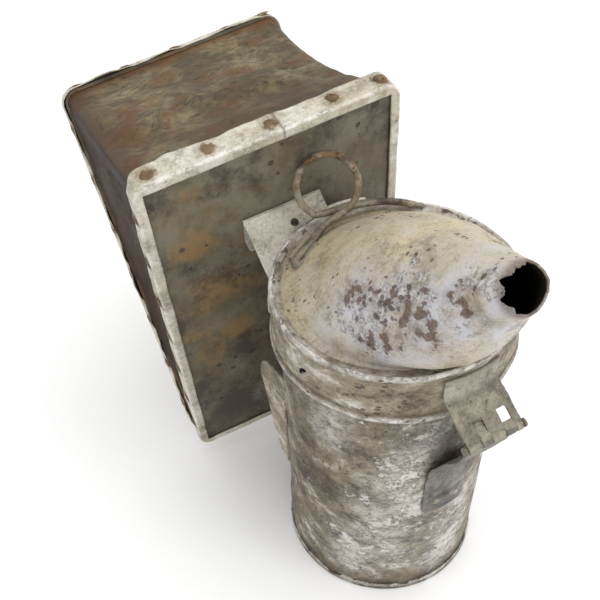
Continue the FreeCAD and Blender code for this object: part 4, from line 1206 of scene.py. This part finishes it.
@dataclass(frozen=True)
class BellowsLeather:
    """The leather gusset nailed round both boards: two folded sides and a sagging, creased top."""

    half_width: float = 61.2
    height: float = 209.8
    corner: float = 6.0
    low: float = 6.0
    top_sag: float = 11.0
    right_sag: float = 7.0
    side_draw: float = 5.0
    thick: float = 1.5
    across: int = 90

    def path(self) -> np.ndarray:
        """The gusset's line on a board: up the left side, over the top and down the right, as x and z."""
        w, h, r = self.half_width, self.height, self.corner
        bend = [(math.cos(a), math.sin(a)) for a in np.radians(np.linspace(0, 90, 8))]
        left = [(-w, self.low)] + [(-w + r - r * c, h - r + r * s) for c, s in bend]
        right = [(w - r + r * c, h - r + r * s) for c, s in bend[::-1]] + [(w, self.low)]
        return resample(np.array(left + right), 1.3)

    def build(self) -> None:
        """Makes the leather as one sheet that fans about the boards' hinge line."""
        path = self.path()
        u, v = np.meshgrid(np.arange(len(path)), np.linspace(0, 1, self.across), indexing="ij")
        x, z = path[u, 0], path[u, 1]
        low_down = smooth_step(z, self.height - 45, self.height)
        top = smooth_step(z, self.height - 5, self.height - 1)
        fan = (4 * v * (1 - v)) ** 0.8
        flat = np.stack([x, z, v * z * 0.57], axis=-1)
        crease = ripple(flat, 44.0, 101, 3)
        fold = ripple(flat * [0.4, 1.0, 1.5], 34.0, 107, 3)
        at_corner = np.exp(-((np.abs(x) - self.half_width) / 9.0) ** 2)
        valley = np.exp(-((v - 0.36 - 0.06 * crease) / 0.1) ** 2)
        rough = (1.3 * crease + 0.9 * fold) * (1 - 0.75 * at_corner)
        deeper = self.right_sag * smooth_step(x, 10, 58) * (0.6 + 0.7 * v)
        down = low_down * (fan * (self.top_sag + deeper + rough) + 1.6 * valley * top)
        into = (1 - low_down) * fan * (self.side_draw + 1.4 * crease + 1.0 * fold) * smooth_step(z, 0, 90)
        x = x - np.sign(x) * np.maximum(into, 0)
        reach = z - np.maximum(down, 0)
        points = SEAT.place(np.stack([x, np.full_like(x, SEAT.hinge_y), reach], axis=-1), v * SEAT.open_deg)
        # painted shade: below the top, the gusset's sides are darkened through the dark mark to stand for the
        # shade on them; the left corner and the left front of the top are darker too
        side = 1 - top
        left_corner = np.exp(-((x + self.half_width) / 12.0) ** 2) * smooth_step(z, 165, 205)
        front = smooth_step(-v, -0.5, -0.2) * smooth_step(x, -45, 0) * top
        streak = smooth_step(ripple(flat * [0.6, 1, 1.4], 30.0, 109, 3), 0.4, 1.2) * top
        dark = np.clip(0.8 * side + 0.5 * left_corner + 0.35 * front, 0, 1)
        edge = np.exp(-((1 - v) / 0.035) ** 2)
        rust = np.clip(0.6 * left_corner + 0.8 * edge * top + 0.35 * side + 0.3 * front + 0.6 * streak, 0, 1)
        piece = grid_mesh("leather_gusset", points[:, ::-1], marks={
            "grime": dark[:, ::-1], "rust": rust[:, ::-1], "swing": v[:, ::-1]})
        rest = piece.data.attributes.new("rest_place", "FLOAT_VECTOR", "POINT")
        place = np.zeros(len(piece.data.vertices) * 3, np.float32)
        piece.data.vertices.foreach_get("co", place)
        rest.data.foreach_set("vector", place)
        add_solidify(piece, self.thick)
        swing_between_boards(piece, "bellows_leather", "bellows_leather")


def swing_between_boards(piece: bpy.types.Object, node: str, material: str) -> None:
    """Gives a sheet its material, fixes its place and hides the CAD node; each point's share of the boards'
    swing is read from its attribute but not used.

    Args:
        piece: The sheet, with its shares in the attribute "swing".
        node: The CAD node that it stands for.
        material: Its material.
    """
    swing = np.zeros(len(piece.data.vertices), np.float32)
    piece.data.attributes["swing"].data.foreach_get("value", swing)
    piece.data.materials.append(bpy.data.materials[material])
    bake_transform(piece)
    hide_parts(node)


@dataclass(frozen=True)
class BellowsSpring:
    """The flat steel spring inside the bellows: a leg against each board and a bend between them."""

    half_width: float = 6.0
    tip: float = 118.0
    foot: float = 46.0
    bend: float = 34.0
    stand: float = 0.32
    thick: float = 0.9

    def build(self) -> None:
        """Makes the strip: down the front board, round the bend and up the back board."""
        leg = np.linspace(self.tip, self.foot, 30)
        turn = np.linspace(0, 1, 33)[1:-1]
        reach = np.concatenate([leg, self.foot - (self.foot - self.bend) * np.sin(turn * math.pi), leg[::-1]])
        share = np.concatenate([np.zeros(len(leg)), turn, np.ones(len(leg))])
        across, z = np.meshgrid(np.linspace(-self.half_width, self.half_width, 7), reach, indexing="xy")
        v = np.repeat(share[:, None], 7, axis=1)
        strip = np.stack([across, SEAT.hinge_y + self.stand * (1 - 2 * v), z], axis=-1)
        piece = grid_mesh("spring_strip", SEAT.place(strip, v * SEAT.open_deg), marks={"swing": v})
        add_solidify(piece, self.thick)
        piece.modifiers["thickness"].offset = 0.0
        swing_between_boards(piece, "bellows_spring", "spring_steel")


# ---------------------------------------------------------------- studio

@dataclass(frozen=True)
class Studio:
    """The pale floor, the soft lights and the camera."""

    floor_size: float = 6.0
    floor_color: str = "fbfbfb"
    lens: float = 52.767
    shift: tuple[float, float] = (0.14987, 0.08132)
    eye: tuple[float, float, float] = (-0.16050, -0.21597, 0.45283)
    right: tuple[float, float, float] = (0.893496, -0.436233, -0.106611)
    up: tuple[float, float, float] = (0.393947, 0.647446, 0.652396)

    def build(self) -> None:
        """Sets up floor, sky, lights and camera."""
        half = self.floor_size / 2
        mesh = bpy.data.meshes.new("floor")
        mesh.from_pydata([(-half, -half, 0), (half, -half, 0), (half, half, 0), (-half, half, 0)], [],
                         [(0, 1, 2, 3)])
        floor = bpy.data.objects.new("floor", mesh)
        bpy.context.scene.collection.objects.link(floor)
        material = bpy.data.materials.new("floor_paper")
        material.use_nodes = True
        principled = material.node_tree.nodes["Principled BSDF"]
        principled.inputs["Base Color"].default_value = srgb(self.floor_color)
        principled.inputs["Roughness"].default_value = 0.9
        principled.inputs["Specular IOR Level"].default_value = 0.1
        floor.data.materials.append(material)
        world = bpy.data.worlds.new("studio") if bpy.context.scene.world is None else bpy.context.scene.world
        bpy.context.scene.world = world
        world.use_nodes = True
        background = world.node_tree.nodes["Background"]
        background.inputs["Color"].default_value = (1.0, 1.0, 1.0, 1.0)
        background.inputs["Strength"].default_value = 1.0
        self.light("overhead", (0.2, 0.0, 1.25), 0.9, 4.4)
        self.light("window", (0.6, -0.9, 0.7), 0.5, 3.0)
        bpy.context.scene.view_settings.view_transform = "Standard"
        self.camera()

    def light(self, name: str, place: tuple[float, float, float], size: float, power: float) -> None:
        """Adds a square soft light that faces the smoker."""
        data = bpy.data.lights.new(name, "AREA")
        data.size = size
        data.energy = power
        lamp = bpy.data.objects.new(name, data)
        lamp.location = place
        aim = Vector((0.0, 0.05, 0.12)) - Vector(place)
        lamp.rotation_euler = aim.to_track_quat("-Z", "Y").to_euler()
        bpy.context.scene.collection.objects.link(lamp)

    def camera(self) -> None:
        """Adds the camera, looking down on the smoker from the front left."""
        data = bpy.data.cameras.new("camera")
        data.sensor_width = 36.0
        data.lens = self.lens
        data.shift_x, data.shift_y = self.shift
        data.clip_start = 0.01
        eye = bpy.data.objects.new("camera", data)
        right = Vector(self.right).normalized()
        up = Vector(self.up)
        up = (up - right * up.dot(right)).normalized()
        back = right.cross(up)
        turn = Matrix((right, up, back)).transposed()
        eye.matrix_world = Matrix.Translation(self.eye) @ turn.to_4x4()
        bpy.context.scene.collection.objects.link(eye)
        bpy.context.scene.camera = eye


# ---------------------------------------------------------------- putting it together

def dress_nodes() -> None:
    """Gives the nodes that stay their finishes, each by the name of its slot."""
    for node in frame["nodes"].values():
        for held in node.material_slots:
            wanted = held.material.name.removeprefix(CAD_MARK).split(".")[0] if held.material else ""
            if wanted in bpy.data.materials:
                held.material = bpy.data.materials[VARIANTS.get(node.name, wanted)]
            else:
                LOG.info("no finish for %s", wanted)


def main() -> None:
    """Builds the smoker and its setting."""
    logging.basicConfig(level=logging.INFO)
    for material in list(bpy.data.materials):
        material.name = CAD_MARK + material.name
    effects = Effects()
    for entry in FINISHES:
        entry.build(effects)
    dress_nodes()
    for part in (FirePot, LidCollar, LidHood, RingHandle, FrontHinge, BellowsSpring):
        part().build()
    BoardEdging().build(SEAT.place, "pot", "front", 7)
    BoardEdging(seam_x=-18.0, wave=0.9).build(SEAT.place_back, "back_board", "back", 19)
    BellowsLeather().build()
    Studio().build()


if __name__ == "__main__":
    main()
